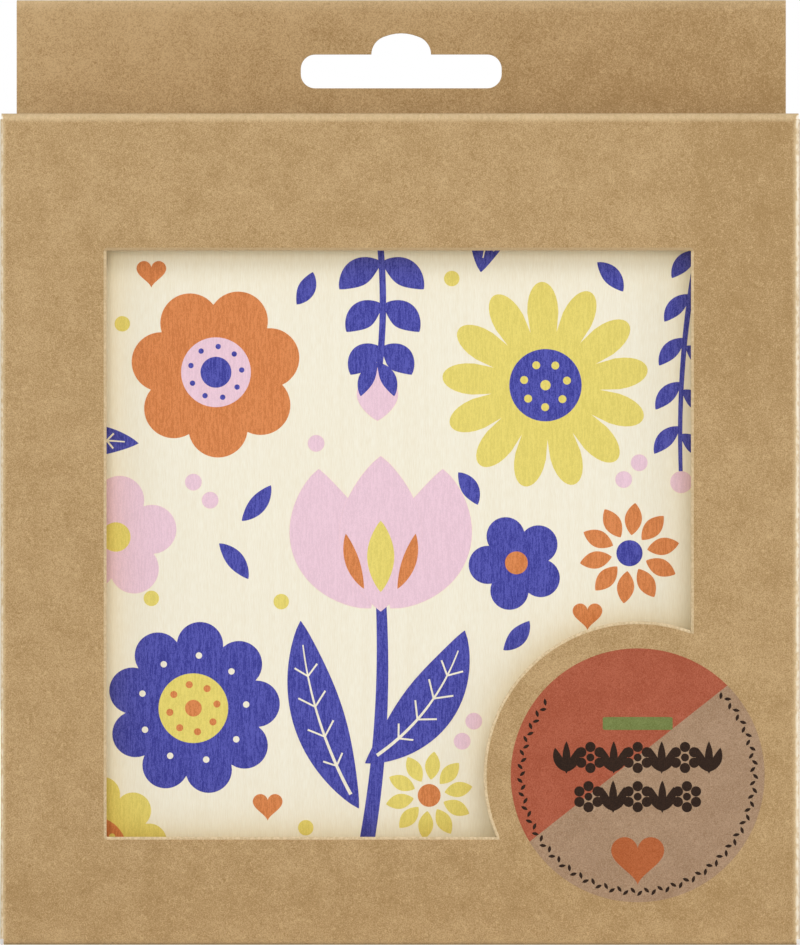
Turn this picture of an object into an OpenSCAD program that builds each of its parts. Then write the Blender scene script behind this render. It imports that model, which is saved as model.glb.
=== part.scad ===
// A flower press in its folded carton. Two plywood plates hold a stack of
// corrugated cards and blotting papers, and four bolts with wing nuts draw them
// together. The carton has a window, a header with a hanging slot and a tuck-in lid.
// +Z is up, the window faces -Y, and the origin is the middle of the carton's foot.

/* [Plates] */
// Width and height of both plywood plates
plate_w = 120; // [110:1:150]
// Thickness of the front plate, which carries the bolts
front_plate_t = 5; // [4.5:0.5:8]
// Thickness of the rear plate, which the wing nuts press on
rear_plate_t = 5; // [4:0.5:8]
// Radius of the plates' corners
plate_r = 4; // [1:0.5:6]
// Distance of each bolt's axis from the two nearest edges of the plate
bolt_edge = 10; // [9:0.5:14]

/* [Papers] */
// Thickness of a corrugated card over both its liners
card_t = 2.5; // [2:0.1:4]
// Thickness of a card's flat liner
liner_t = 0.3; // [0.2:0.05:0.5]
// Thickness of the wavy sheet inside a card
flute_t = 0.3; // [0.2:0.05:0.4]
// Distance from one flute of a card to the next
flute_pitch = 6.4; // [5:0.1:9]
// Thickness of a sheet of blotting paper
blotter_t = 0.5; // [0.3:0.1:1]
// Distance of the papers' edges inside the edges of the plates
sheet_inset = 2; // [1:0.5:5]
// Room between a paper's cut corner and the bolt beside it
sheet_room = 1; // [0.5:0.1:3]

/* [Bolts] */
// Diameter of the bolts' threaded shank
bolt_d = 4.9; // [4:0.1:5.4]
// Diameter of the bolts' domed head
head_d = 11; // [9:0.5:13]
// Height of the domed head
head_h = 2.8; // [2:0.1:4]
// Height of the straight rim under the dome
head_rim = 0.5; // [0.3:0.1:1]
// Width of the square neck under the head
neck_w = 5.6; // [5.5:0.1:6.5]
// Length of the square neck
neck_l = 3.2; // [2:0.1:4]
// Bevel at the end of the shank
tip_bevel = 0.6; // [0.3:0.1:1]
// Length of shank that still stands out of a wing nut that is fully backed off
tip_l = 2; // [1:0.5:6]

/* [Washers and wing nuts] */
// Outer diameter of the washers
washer_d = 10; // [9:0.5:13]
// Thickness of the washers
washer_t = 1; // [0.6:0.1:1.6]
// Diameter of a wing nut's hub where it meets the washer
hub_d = 9.4; // [8:0.1:11]
// Diameter of the hub at its far end
hub_top_d = 7.6; // [7:0.1:9]
// Height of the hub
hub_h = 6; // [4:0.5:8]
// Span over both wings
wing_span = 20; // [18:0.5:24]
// Height of the wings above the washer
wing_h = 10; // [9:0.5:14]
// Thickness of the wings
wing_t = 2; // [1.4:0.1:3]
// Radius of the round end of a wing
ear_r = 3; // [2.4:0.1:3.4]
// Travel of a wing nut along its bolt, from clamped to fully backed off
nut_travel = 8; // [4:1:12]

/* [Carton] */
// Thickness of the folded board
board_t = 0.5; // [0.4:0.05:0.6]
// Outer radius of the folded edges
crease_r = 0.9; // [0.8:0.05:1.2]
// Room beside the press, left and right
side_play = 1.25; // [1:0.05:3]
// Gap between the carton's floor and the press
foot_play = 0.45; // [0.35:0.05:1]
// Room above the press, under the dust flaps
top_play = 5.45; // [5.35:0.05:10]
// Gap between the front panel and the bolt heads
head_play = 0.5; // [0.3:0.1:2]
// Room between backed-off wing nuts and the tuck flap
nut_room = 1.5; // [1:0.1:6]
// Gap between the tuck flap and the header's front layer
tuck_gap = 1.2; // [1.2:0.1:2]

/* [Window] */
// Width by which the front panel covers the plate beside the window
side_lap = 14.6; // [13:0.1:20]
// Height by which the front panel covers the plate above and below the window
end_lap = 14.45; // [13:0.05:20]
// Radius of the window's corners
window_r = 0.45; // [0.3:0.05:3]
// How far the window's centre lies to the right of the carton's
window_right = -0.2; // [-1:0.1:1]
// How far the window's centre lies above the plate's centre
window_rise = 0; // [-1:0.05:1]
// Radius of the round tab in the window's lower right corner
tab_r = 23.5; // [18:0.5:28]
// Distance of the tab's centre inside the window's right edge
tab_inset = 8.5; // [5:0.1:14]
// Height of the tab's centre above the window's lower edge
tab_rise = 9.8; // [5:0.1:14]

/* [Header] */
// Height of the header above the closed lid
header_h = 19.6; // [19:0.1:30]
// How much narrower the header is than the carton, on each side
header_inset = 0.5; // [0.3:0.1:2]
// Distance of the hanging slot's centre line below the header's top
slot_drop = 11.35; // [9:0.05:13]
// Width of the hanging slot
slot_w = 32; // [28:0.5:40]
// Height of the hanging slot
slot_h = 5.4; // [5:0.1:7]
// Radius of the hanging slot's corners
slot_r = 2.3; // [1:0.1:2.4]
// Width of the arched notch above the slot, where the hook sits
notch_w = 9.5; // [8.5:0.1:12]
// Height of the notch above the slot
notch_h = 3.4; // [3.2:0.1:4]
// Radius of the arch's two sides, below its flatter crown
notch_r = 3; // [2.4:0.1:3.1]
// Length by which the header's front layer reaches down behind the lid
header_tail = 11.9; // [8:0.1:20]

/* [Flaps] */
// Length of the tuck flap below the lid's crease
tuck_l = 12.6; // [10:0.1:14]
// Radius of the tuck flap's lower corners
tuck_r = 8; // [4:0.5:10]
// How much narrower the lid is than the carton, on each side
lid_inset = 0.2; // [0.15:0.05:0.5]
// Distance of the tuck flap's ends inside the carton's outer width
tuck_inset = 2.3; // [1.5:0.1:5]
// Reach of the top dust flaps from the carton's side
dust_l = 26; // [15:0.5:35]
// Distance of the dust flaps' front corner behind the front panel's face
dust_start = 1.5; // [1.5:0.1:5]
// Sideways room between a dust flap's rear corner and the tuck flap
dust_gap = 0.8; // [0.6:0.1:3]
// Reach of the bottom dust flaps from the carton's side
foot_flap_l = 38; // [20:0.5:50]
// Width of the glue flap inside the back panel
glue_w = 16; // [10:0.5:25]

/* [Hidden] */
$fn = 64;

KRAFT = [0.71, 0.6, 0.43];
PLY = [0.93, 0.88, 0.76];
CARD = [0.76, 0.64, 0.48];
BLOTTER = [0.96, 0.95, 0.92];
ZINC = [0.75, 0.76, 0.78];

// Radial clearances on the bolts, and how far cuts run past the solid they cut
nut_fit = 0.07;
washer_fit = 0.2;
neck_fit = 0.05;
front_hole_fit = 0.35;
rear_hole_fit = 0.55;
overrun = 1;

// Sheets in the stack: a pair of papers lies between each two cards
CARDS = 4;
PAIR = 2;
FLUTE_STEPS = 8;
crest_bite = 0.1;

// Corners, seen from the front, clockwise from the upper left
CORNER_SIGNS = [[-1, 1], [1, 1], [1, -1], [-1, -1]];
WING_ANGLES = [24, -38, 71, 8];

// Press, worked out from the plates, the papers and the bolts
bolt_off = plate_w / 2 - bolt_edge;
reach = max(plate_w / 2, bolt_off + wing_span / 2);
stack_t = CARDS * card_t + (CARDS - 1) * PAIR * blotter_t;
clamp_l = front_plate_t + stack_t + rear_plate_t + washer_t;
bolt_l = clamp_l + hub_h + nut_travel + tip_l;
rear_reach = max(bolt_l, clamp_l + nut_travel + wing_h);
sheet_w = plate_w - 2 * sheet_inset;
corner_cut = sheet_w - 2 * bolt_off + sqrt(2) * (bolt_d / 2 + sheet_room);

// Carton, worked out from the press and its room
half_w = reach + side_play + board_t;
body_w = 2 * half_w;
body_d = 4 * board_t + head_play + head_h + rear_reach + nut_room + tuck_gap;
press_z = 3 * board_t + foot_play + reach;
dust_z = press_z + reach + top_play;
body_h = dust_z + 2 * board_t;
front_y = -body_d / 2;
back_y = body_d / 2;
bend_r = crease_r - board_t;

// Where the press stands in the carton, from front to back
plate_y = front_y + board_t + head_play + head_h;
stack_y = plate_y + front_plate_t;
rear_plate_y = stack_y + stack_t;
washer_y = rear_plate_y + rear_plate_t;
nut_y = washer_y + washer_t;

// Window, worked out from the plate behind it
window_w = plate_w - 2 * side_lap;
window_h = plate_w - 2 * end_lap;

// Edges of the panels
front_top = body_h - crease_r;
side_top = dust_z + board_t - crease_r;
side_foot = 2 * board_t + crease_r;
back_foot = board_t + crease_r;
tuck_y = back_y - 3 * board_t - tuck_gap;
liner_y = back_y - 2 * board_t;
liner_foot = body_h - board_t - header_tail;
header_top = body_h + header_h;
header_half_w = half_w - header_inset;
slot_z = header_top - slot_drop;

// Crown of the notch: the larger circle that touches both side circles, and half the
// width that it spans between them. It is sunk a little, so that the outlines cross.
crown_sink = 0.02;
side_off = notch_w / 2 - notch_r;
crown_r = (notch_w * notch_w / 4 + notch_h * notch_h - notch_w * notch_r)
    / (2 * (notch_h - notch_r));
crown_half_w = side_off * crown_r / (crown_r - notch_r);

// Slopes of the dust flaps' edges: the front one leaves room for the lid to lift first
dust_front_slope_share = 0.66;
dust_rear_slope_share = 0.27;

// A quarter of a tube that turns from +X to +Y, along +Z: one folded edge
module crease(length)
    rotate_extrude(angle = 90)
        translate([bend_r, 0]) square([board_t, length]);

// A folded edge along X that starts at x; quarter 0 is lower rear, then turns forward
module crease_x(x, y, z, length, quarter)
    translate([x, y, z]) rotate([0, 90, 0]) rotate([0, 0, quarter * 90]) crease(length);

// A folded edge along Y that starts at y; quarter 0 is lower right
module crease_y(x, y, z, length, quarter)
    translate([x, y, z]) rotate([-90, 0, 0]) rotate([0, 0, quarter * 90]) crease(length);

// A flat shape drawn as seen from the front, standing with its front face at y
module upright(y, thickness)
    translate([0, y + thickness, 0]) rotate([90, 0, 0]) linear_extrude(thickness) children();

// A rectangle from one corner to the other
module span(low, high)
    translate(low) square(high - low);

module rounded_square(size, r) {
    square([size[0] - 2 * r, size[1]], center = true);
    square([size[0], size[1] - 2 * r], center = true);
    for (sx = [-1, 1], sy = [-1, 1])
        translate([sx * (size[0] / 2 - r), sy * (size[1] / 2 - r)]) circle(r);
}

module on_side(side)
    mirror([side < 0 ? 1 : 0, 0, 0]) children();

module window_opening()
    translate([window_right, press_z + window_rise])
        difference() {
            rounded_square([window_w, window_h], window_r);
            translate([window_w / 2 - tab_inset, tab_rise - window_h / 2]) circle(tab_r);
        }

module carton_front() color(KRAFT) {
    upright(front_y, board_t) difference() {
        span([crease_r - half_w, crease_r], [half_w - crease_r, front_top]);
        window_opening();
    }
    for (side = [-1, 1])
        on_side(side)
            translate([half_w - crease_r, front_y + crease_r, crease_r])
                rotate([0, 0, -90]) crease(front_top - crease_r);
}

// Rear end of each side panel: the left one meets the back panel's folded edge,
// the right one turns into the glue flap, which lies inside the back panel
function side_rear(side) = back_y - crease_r - (side > 0 ? board_t : 0);

module carton_side(side) color(KRAFT)
    on_side(side)
        translate([half_w - board_t, front_y + crease_r, side_foot])
            cube([board_t, side_rear(side) - front_y - crease_r, side_top - side_foot]);

module hanging_slot() {
    translate([0, slot_z]) rounded_square([slot_w, slot_h], slot_r);
    translate([0, slot_z + slot_h / 2]) {
        for (side = [-1, 1])
            translate([side * side_off, 0]) circle(notch_r);
        intersection() {
            translate([0, notch_h - crown_r - crown_sink]) circle(crown_r);
            square([2 * crown_half_w, 2 * notch_h], center = true);
        }
    }
}

module carton_back() color(KRAFT) {
    upright(back_y - board_t, board_t) difference() {
        union() {
            span([crease_r - half_w, back_foot], [half_w - bend_r / 2, side_top]);
            span([-header_half_w, side_top], [header_half_w, header_top - board_t]);
        }
        hanging_slot();
    }
    translate([crease_r - half_w, back_y - crease_r, back_foot])
        rotate([0, 0, 90]) crease(side_top - back_foot);
}

// The back panel folds forward over the header's top and down behind the lid
module header_front_layer() color(KRAFT) {
    upright(liner_y, board_t) difference() {
        union() {
            span([-header_half_w, body_h], [header_half_w, header_top - board_t]);
            span([2 * crease_r - half_w, liner_foot], [half_w - 2 * crease_r, body_h]);
        }
        hanging_slot();
    }
    translate([-header_half_w, back_y - board_t, header_top - board_t]) rotate([0, 90, 0])
        rotate([0, 0, 90]) rotate_extrude(angle = 180) square([board_t, 2 * header_half_w]);
}

module glue_flap() color(KRAFT) {
    top = liner_foot - 2 * board_t;
    fold_x = half_w - crease_r;
    upright(back_y - 2 * board_t, board_t)
        polygon([
            [fold_x, side_foot], [fold_x, top],
            [fold_x - glue_w, top - glue_w / 2], [fold_x - glue_w, side_foot + glue_w / 2]
        ]);
    translate([fold_x, side_rear(1), side_foot]) crease(top - side_foot);
}

module bottom_outer_flap() color(KRAFT) {
    x = half_w - board_t;
    translate([-x, front_y + crease_r, 0])
        cube([2 * x, body_d - 2 * crease_r, board_t]);
    crease_x(-x, front_y + crease_r, crease_r, 2 * x, -1);
}

module bottom_inner_flap() color(KRAFT) {
    x = half_w - crease_r;
    translate([-x, 0, board_t])
        linear_extrude(board_t)
            polygon([
                [0, back_y - crease_r], [2 * x, back_y - crease_r],
                [2 * x - glue_w, front_y + glue_w], [glue_w, front_y + glue_w]
            ]);
    crease_x(-x, back_y - crease_r, board_t + crease_r, 2 * x, 0);
}

module bottom_dust_flap(side) color(KRAFT) on_side(side) {
    fold_x = half_w - crease_r;
    start = front_y + 2 * crease_r;
    end = back_y - 2 * crease_r - board_t;
    inner = half_w - foot_flap_l;
    translate([0, 0, 2 * board_t])
        linear_extrude(board_t)
            polygon([
                [fold_x, start], [inner, start + foot_flap_l / 8],
                [inner, end - foot_flap_l / 8], [fold_x, end]
            ]);
    crease_y(fold_x, start, side_foot, end - start, 0);
}

module lid() color(KRAFT) {
    x = half_w - lid_inset;
    fold_x = half_w - tuck_inset;
    fold_y = tuck_y + board_t - crease_r;
    translate([-x, front_y + crease_r, body_h - board_t])
        cube([2 * x, fold_y - front_y - crease_r, board_t]);
    crease_x(-x, front_y + crease_r, front_top, 2 * x, 2);
    crease_x(-fold_x, fold_y, front_top, 2 * fold_x, 1);
}

module tuck_flap() color(KRAFT) {
    x = half_w - tuck_inset;
    foot = front_top - tuck_l;
    upright(tuck_y, board_t) {
        span([-x, foot + tuck_r], [x, front_top]);
        span([-x + tuck_r, foot], [x - tuck_r, front_top]);
        for (side = [-1, 1])
            intersection() {
                translate([side * (x - tuck_r), foot + tuck_r]) circle(tuck_r);
                span([-x, foot], [x, foot + tuck_r]);
            }
    }
}

module dust_flap(side) color(KRAFT) on_side(side) {
    fold_x = half_w - crease_r;
    start = front_y + dust_start;
    end = tuck_y - dust_gap;
    steady = dust_start / dust_front_slope_share;
    tip_x = half_w - dust_l;
    translate([0, 0, dust_z])
        linear_extrude(board_t)
            polygon([
                [fold_x, start], [half_w - steady, start],
                [tip_x, front_y + dust_l * dust_front_slope_share],
                [tip_x, end - dust_l * dust_rear_slope_share], [fold_x, end]
            ]);
    crease_y(fold_x, start, side_top, end - start, -1);
}

// Places its children at one corner's bolt axis, with +Z turned to +Y
module at_corner(i, y)
    translate([CORNER_SIGNS[i - 1][0] * bolt_off, y, press_z + CORNER_SIGNS[i - 1][1] * bolt_off])
        rotate([-90, 0, 0]) children();

module plate_blank(y, thickness)
    upright(y, thickness)
        translate([0, press_z]) rounded_square([plate_w, plate_w], plate_r);

module front_plate() color(PLY) difference() {
    plate_blank(plate_y, front_plate_t);
    mortise = neck_w + 2 * neck_fit;
    for (i = [1 : len(CORNER_SIGNS)])
        at_corner(i, plate_y) {
            translate([0, 0, -overrun])
                cylinder(d = bolt_d + 2 * front_hole_fit, h = front_plate_t + 2 * overrun);
            translate([-mortise / 2, -mortise / 2, -overrun])
                cube([mortise, mortise, neck_l + neck_fit + overrun]);
        }
}

module rear_plate() color(PLY) difference() {
    plate_blank(rear_plate_y, rear_plate_t);
    for (i = [1 : len(CORNER_SIGNS)])
        at_corner(i, rear_plate_y - overrun)
            cylinder(d = bolt_d + 2 * rear_hole_fit, h = rear_plate_t + 2 * overrun);
}

// Outline of a paper: a square with its four corners cut off beside the bolts
module sheet_outline() {
    h = sheet_w / 2;
    c = h - corner_cut;
    translate([0, press_z])
        polygon([[-h, -c], [-c, -h], [c, -h], [h, -c], [h, c], [c, h], [-c, h], [-h, c]]);
}

// Height of the wavy sheet's middle at x, and the offset that keeps its thickness
function wave(x) = (card_t / 2 - liner_t - flute_t / 2 + crest_bite) * cos(360 * x / flute_pitch);
function wave_slope(x) = -(card_t / 2 - liner_t - flute_t / 2 + crest_bite)
    * 2 * PI / flute_pitch * sin(360 * x / flute_pitch);
function wave_half_t(x) = flute_t / 2 * sqrt(1 + pow(wave_slope(x), 2));

// Cross-section of the wavy sheet, along a card's middle
module wave_section() {
    steps = ceil(sheet_w / flute_pitch * FLUTE_STEPS);
    xs = [for (k = [0 : steps]) -sheet_w / 2 + sheet_w * k / steps];
    last = len(xs) - 1;
    polygon([
        for (x = xs) [x, wave(x) + wave_half_t(x)],
        for (k = [0 : last]) [xs[last - k], wave(xs[last - k]) - wave_half_t(xs[last - k])]
    ]);
}

function card_y(i) = stack_y + (i - 1) * (card_t + PAIR * blotter_t);
function blotter_y(i) = stack_y + ceil(i / PAIR) * card_t + (i - 1) * blotter_t;

// Two liners with the wavy sheet glued between them, its flutes upright
module corrugated_card(i) color(CARD) {
    upright(card_y(i), liner_t) sheet_outline();
    upright(card_y(i) + card_t - liner_t, liner_t) sheet_outline();
    intersection() {
        translate([0, card_y(i) + card_t / 2, press_z - sheet_w / 2])
            linear_extrude(sheet_w) wave_section();
        upright(card_y(i), card_t) sheet_outline();
    }
}

module blotting_paper(i) color(BLOTTER)
    upright(blotter_y(i), blotter_t) sheet_outline();

module carriage_bolt(i) color(ZINC) at_corner(i, plate_y) {
    dome_h = head_h - head_rim;
    dome_r = (pow(head_d / 2, 2) + pow(dome_h, 2)) / (2 * dome_h);
    rotate_extrude() {
        translate([0, -head_rim]) square([head_d / 2, head_rim]);
        intersection() {
            translate([0, dome_r - head_h]) circle(dome_r, $fn = 128);
            translate([0, -head_h]) square([head_d / 2, dome_h]);
        }
    }
    translate([-neck_w / 2, -neck_w / 2, 0]) cube([neck_w, neck_w, neck_l]);
    cylinder(d = bolt_d, h = bolt_l - tip_bevel);
    translate([0, 0, bolt_l - tip_bevel])
        cylinder(d1 = bolt_d, d2 = bolt_d - 2 * tip_bevel, h = tip_bevel);
}

module washer(i) color(ZINC) at_corner(i, washer_y) difference() {
    cylinder(d = washer_d, h = washer_t);
    translate([0, 0, -overrun])
        cylinder(d = bolt_d + 2 * washer_fit, h = washer_t + 2 * overrun);
}

// The two points where lines from p touch a circle: turn is 1 or -1
function touch(p, centre, r, turn) =
    let (d = p - centre, a = atan2(d[1], d[0]) + turn * acos(r / norm(d)))
    centre + r * [cos(a), sin(a)];

module wing() {
    centre = [wing_span / 2 - ear_r, wing_h - ear_r];
    root = [hub_d / 2 - wing_t / 4, wing_t / 2];
    top = [hub_top_d / 2, hub_h];
    rotate([90, 0, 0]) translate([0, 0, -wing_t / 2]) linear_extrude(wing_t) {
        translate(centre) circle(ear_r);
        polygon([
            [bolt_d / 2, root[1]], root, touch(root, centre, ear_r, 1),
            touch(top, centre, ear_r, -1), top, [bolt_d / 2, top[1]]
        ]);
    }
}

module wing_nut(i) color(ZINC) at_corner(i, nut_y) rotate([0, 0, WING_ANGLES[i - 1]])
    difference() {
        union() {
            cylinder(d1 = hub_d, d2 = hub_top_d, h = hub_h);
            for (turn = [0, 180])
                rotate([0, 0, turn]) wing();
        }
        translate([0, 0, -overrun])
            cylinder(d = bolt_d + 2 * nut_fit, h = hub_h + 2 * overrun);
    }

carton_front();
carton_side(-1);  // carton_left_side
carton_side(1);  // carton_right_side
carton_back();
header_front_layer();
glue_flap();
bottom_outer_flap();
bottom_inner_flap();
bottom_dust_flap(-1);  // bottom_dust_flap_left
bottom_dust_flap(1);  // bottom_dust_flap_right
lid();
tuck_flap();
dust_flap(-1);  // dust_flap_left
dust_flap(1);  // dust_flap_right
front_plate();
rear_plate();
corrugated_card(1);  // corrugated_card_1
corrugated_card(2);  // corrugated_card_2
corrugated_card(3);  // corrugated_card_3
corrugated_card(4);  // corrugated_card_4
blotting_paper(1);  // blotting_paper_1
blotting_paper(2);  // blotting_paper_2
blotting_paper(3);  // blotting_paper_3
blotting_paper(4);  // blotting_paper_4
blotting_paper(5);  // blotting_paper_5
blotting_paper(6);  // blotting_paper_6
carriage_bolt(1);  // carriage_bolt_1
carriage_bolt(2);  // carriage_bolt_2
carriage_bolt(3);  // carriage_bolt_3
carriage_bolt(4);  // carriage_bolt_4
washer(1);  // washer_1
washer(2);  // washer_2
washer(3);  // washer_3
washer(4);  // washer_4
wing_nut(1);  // wing_nut_1
wing_nut(2);  // wing_nut_2
wing_nut(3);  // wing_nut_3
wing_nut(4);  // wing_nut_4
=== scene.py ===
"""Finishes a square flower press in its folded kraft carton and sets it in a plain studio.

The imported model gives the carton's panels, the plates and the papers. This script gives them
their board, wood and paper finishes, prints the plate and the tab, and builds the bolts,
washers and wing nuts with their threads and rounded edges.
"""

import logging
import math
from collections.abc import Callable, Sequence
from dataclasses import dataclass, field
from enum import Enum
from typing import Union

import bpy
import numpy as np
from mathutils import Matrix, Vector

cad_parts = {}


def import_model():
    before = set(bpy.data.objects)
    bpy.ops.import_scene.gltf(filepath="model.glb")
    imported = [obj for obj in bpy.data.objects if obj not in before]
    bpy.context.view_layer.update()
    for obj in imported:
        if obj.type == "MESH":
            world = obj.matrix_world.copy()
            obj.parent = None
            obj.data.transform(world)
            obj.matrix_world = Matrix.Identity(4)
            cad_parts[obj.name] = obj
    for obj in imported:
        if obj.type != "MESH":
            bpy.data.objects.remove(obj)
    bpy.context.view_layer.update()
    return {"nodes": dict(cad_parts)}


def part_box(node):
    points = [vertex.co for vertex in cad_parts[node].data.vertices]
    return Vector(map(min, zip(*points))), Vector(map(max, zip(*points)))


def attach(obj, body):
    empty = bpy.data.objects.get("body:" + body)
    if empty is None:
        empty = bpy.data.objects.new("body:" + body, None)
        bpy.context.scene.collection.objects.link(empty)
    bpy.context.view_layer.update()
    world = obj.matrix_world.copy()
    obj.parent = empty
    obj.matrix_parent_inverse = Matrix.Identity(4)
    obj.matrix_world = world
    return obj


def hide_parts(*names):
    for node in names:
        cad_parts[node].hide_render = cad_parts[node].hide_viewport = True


log = logging.getLogger("flower_press")

Array = np.ndarray
Material = bpy.types.Material
Nodes = dict[str, bpy.types.Object]
Point = tuple[float, float]
Rgb = tuple[int, int, int]
Size = tuple[float, float, float]
Source = Union["Value", float, tuple]

MM = 0.001
WHITE = (1.0, 1.0, 1.0, 1.0)
SHARP_ANGLE = math.radians(38)


def linear(shade: Rgb) -> tuple[float, ...]:
    """Turns a shade as it looks on screen into the linear colour that a shader takes.

    Formula: each channel c of 0 to 1 becomes ((c + 0.055) / 1.055) ** 2.4 above 0.04045,
    and c / 12.92 below it.

    Args:
        shade: Red, green and blue from 0 to 255.

    Returns:
        Linear red, green, blue and an alpha of 1.
    """
    channels = np.array(shade, float) / 255
    curved = np.where(channels > 0.04045, ((channels + 0.055) / 1.055) ** 2.4, channels / 12.92)
    return (*curved.tolist(), 1.0)


def arithmetic(operation: str, flipped: bool = False) -> Callable[..., "Value"]:
    """Gives a method for Value that adds one Math node.

    Args:
        operation: The node's operation, in Blender's name.
        flipped: Whether the other value comes first, as in 1 - value.

    Returns:
        The method.
    """

    def method(value: "Value", other: Source = 0.0) -> "Value":
        """Adds the node."""
        first, second = (other, value) if flipped else (value, other)
        return value.graph.node("Math", {0: first, 1: second}, operation=operation)

    return method


@dataclass(frozen=True, eq=False)
class Value:
    """An output in a node tree. Arithmetic on it adds Math nodes."""

    graph: "Graph"
    socket: bpy.types.NodeSocket

    __add__ = __radd__ = arithmetic("ADD")
    __sub__, __rsub__ = arithmetic("SUBTRACT"), arithmetic("SUBTRACT", flipped=True)
    __mul__ = __rmul__ = arithmetic("MULTIPLY")
    __truediv__, __mod__, __pow__ = map(arithmetic, ("DIVIDE", "MODULO", "POWER"))
    __gt__, __lt__, __abs__ = map(arithmetic, ("GREATER_THAN", "LESS_THAN", "ABSOLUTE"))
    maximum, minimum, fract = map(arithmetic, ("MAXIMUM", "MINIMUM", "FRACT"))
    sine, cosine, root = map(arithmetic, ("SINE", "COSINE", "SQRT"))

    def axes(self) -> list["Value"]:
        """Splits a vector into its X, Y and Z."""
        first = self.graph.node("SeparateXYZ", {0: self})
        return [Value(self.graph, part) for part in first.socket.node.outputs]

    def ramp(self, start: float, end: float) -> "Value":
        """Maps start to end onto 0 to 1 in a straight line, without running past either."""
        return self.graph.node("MapRange", {"Value": self, "From Min": start, "From Max": end})

    def band(self, start: float, end: float, low: float = 0.0, high: float = 1.0) -> "Value":
        """Maps start to end, which may be the lesser, onto low to high in a smooth step."""
        inputs = {"Value": self, "From Min": start, "From Max": end, "To Min": low, "To Max": high}
        return self.graph.node("MapRange", inputs, interpolation_type="SMOOTHSTEP")

    def relief(self, depth: float, strength: float = 0.5) -> "Value":
        """Turns a height of 0 to 1 into a bumpy normal, depth metres deep at full strength."""
        return self.graph.node("Bump", {"Height": self, "Distance": depth, "Strength": strength})


class Graph:
    """The node tree of a material or of the world, with a call for each kind of node in use."""

    def __init__(self, owner: Material | bpy.types.World) -> None:
        """Empties the owner's tree.

        Args:
            owner: What the tree belongs to.
        """
        self.owner = owner
        owner.use_nodes = True
        self.tree = owner.node_tree
        self.tree.nodes.clear()

    def node(
        self, kind: str, inputs: dict[int | str, Source], output: int | str = 0, **settings: object
    ) -> Value:
        """Adds one node, sets or links its inputs and gives one of its outputs.

        Args:
            kind: The node's type without ShaderNode in front.
            inputs: A number, a colour or another node's output for each input.
            output: Which output to return.
            settings: The node's own settings.

        Returns:
            The chosen output.
        """
        made = self.tree.nodes.new("ShaderNode" + kind)
        for name, value in settings.items():
            setattr(made, name, value)
        for key, value in inputs.items():
            if isinstance(value, Value):
                self.tree.links.new(value.socket, made.inputs[key])
            else:
                made.inputs[key].default_value = value
        return Value(self, made.outputs[output])

    def place(self) -> Value:
        """Gives the point's place in the shared frame, in metres."""
        return self.node("TexCoord", {}, "Object")

    def facing(self) -> Value:
        """Gives the direction that the surface faces, in the shared frame."""
        return self.node("TexCoord", {}, "Normal")

    def seen(self) -> Value:
        """Marks rays of the camera, reflections and transmission with 1, and others with 0."""
        camera, glossy = (self.node("LightPath", {}, f"Is {kind} Ray") for kind in ("Camera", "Glossy"))
        return camera.maximum(glossy).maximum(self.node("LightPath", {}, "Is Transmission Ray"))

    def mix(self, share: Source, first: Value | Rgb, second: Value | Rgb) -> Value:
        """Mixes two colours, from nodes or as they look on screen, by the second's share."""
        ends = [end if isinstance(end, Value) else linear(end) for end in (first, second)]
        return self.node("Mix", {0: share, 6: ends[0], 7: ends[1]}, 2, data_type="RGBA")

    def noise(self, size: float | Size, detail: float, bend: float = 0.0, shift: float = 0.0) -> Value:
        """Adds cloudy noise.

        Args:
            size: The size of its patches in metres, the same or one each along X, Y and Z.
            detail: How many finer layers it has.
            bend: How far it is distorted.
            shift: An offset that keeps two patterns of one size apart.

        Returns:
            A value around 0.5.
        """
        scale = tuple((1 / np.broadcast_to(size, 3)).tolist())
        inputs = {"Vector": self.place(), "Location": (shift,) * 3, "Scale": scale}
        inputs = {"Vector": self.node("Mapping", inputs), "Scale": 1.0}
        return self.node("TexNoise", inputs | {"Detail": detail, "Distortion": bend})

    def end(self, kind: str, shader: Value) -> None:
        """Ends the tree in an output node of this kind."""
        made = self.tree.nodes.new("ShaderNodeOutput" + kind)
        self.tree.links.new(shader.socket, made.inputs["Surface"])

    def surface(self, colour: Value, roughness: Source, sheen: float = 0.5, **more: Source) -> Material:
        """Ends a material's tree in a Principled shader.

        Args:
            colour: The base colour.
            roughness: The roughness.
            sheen: The specular level.
            more: Other sockets of the shader, with _ for a space in each name.

        Returns:
            The finished material.
        """
        inputs = {"Base Color": colour, "Roughness": roughness, "Specular IOR Level": sheen}
        inputs |= {key.replace("_", " "): value for key, value in more.items()}
        self.end("Material", self.node("BsdfPrincipled", inputs))
        return self.owner


def finish(name: str) -> Graph:
    """Starts the node tree of a new material."""
    return Graph(bpy.data.materials.new(name))


def upright(width: float, length: float) -> Size:
    """Gives the size in metres of patches that stand upright, from millimetres."""
    return width * MM, width * MM, length * MM


class Side(Enum):
    """The axis that a flat panel of board faces."""

    X = 0
    Y = 1
    Z = 2


@dataclass(frozen=True)
class CartonEdges:
    """The carton's outer edges, which its worn creases follow, in metres."""

    half_w: float
    half_d: float
    body_h: float
    top: float
    crease_r: float = 0.9 * MM


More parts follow.
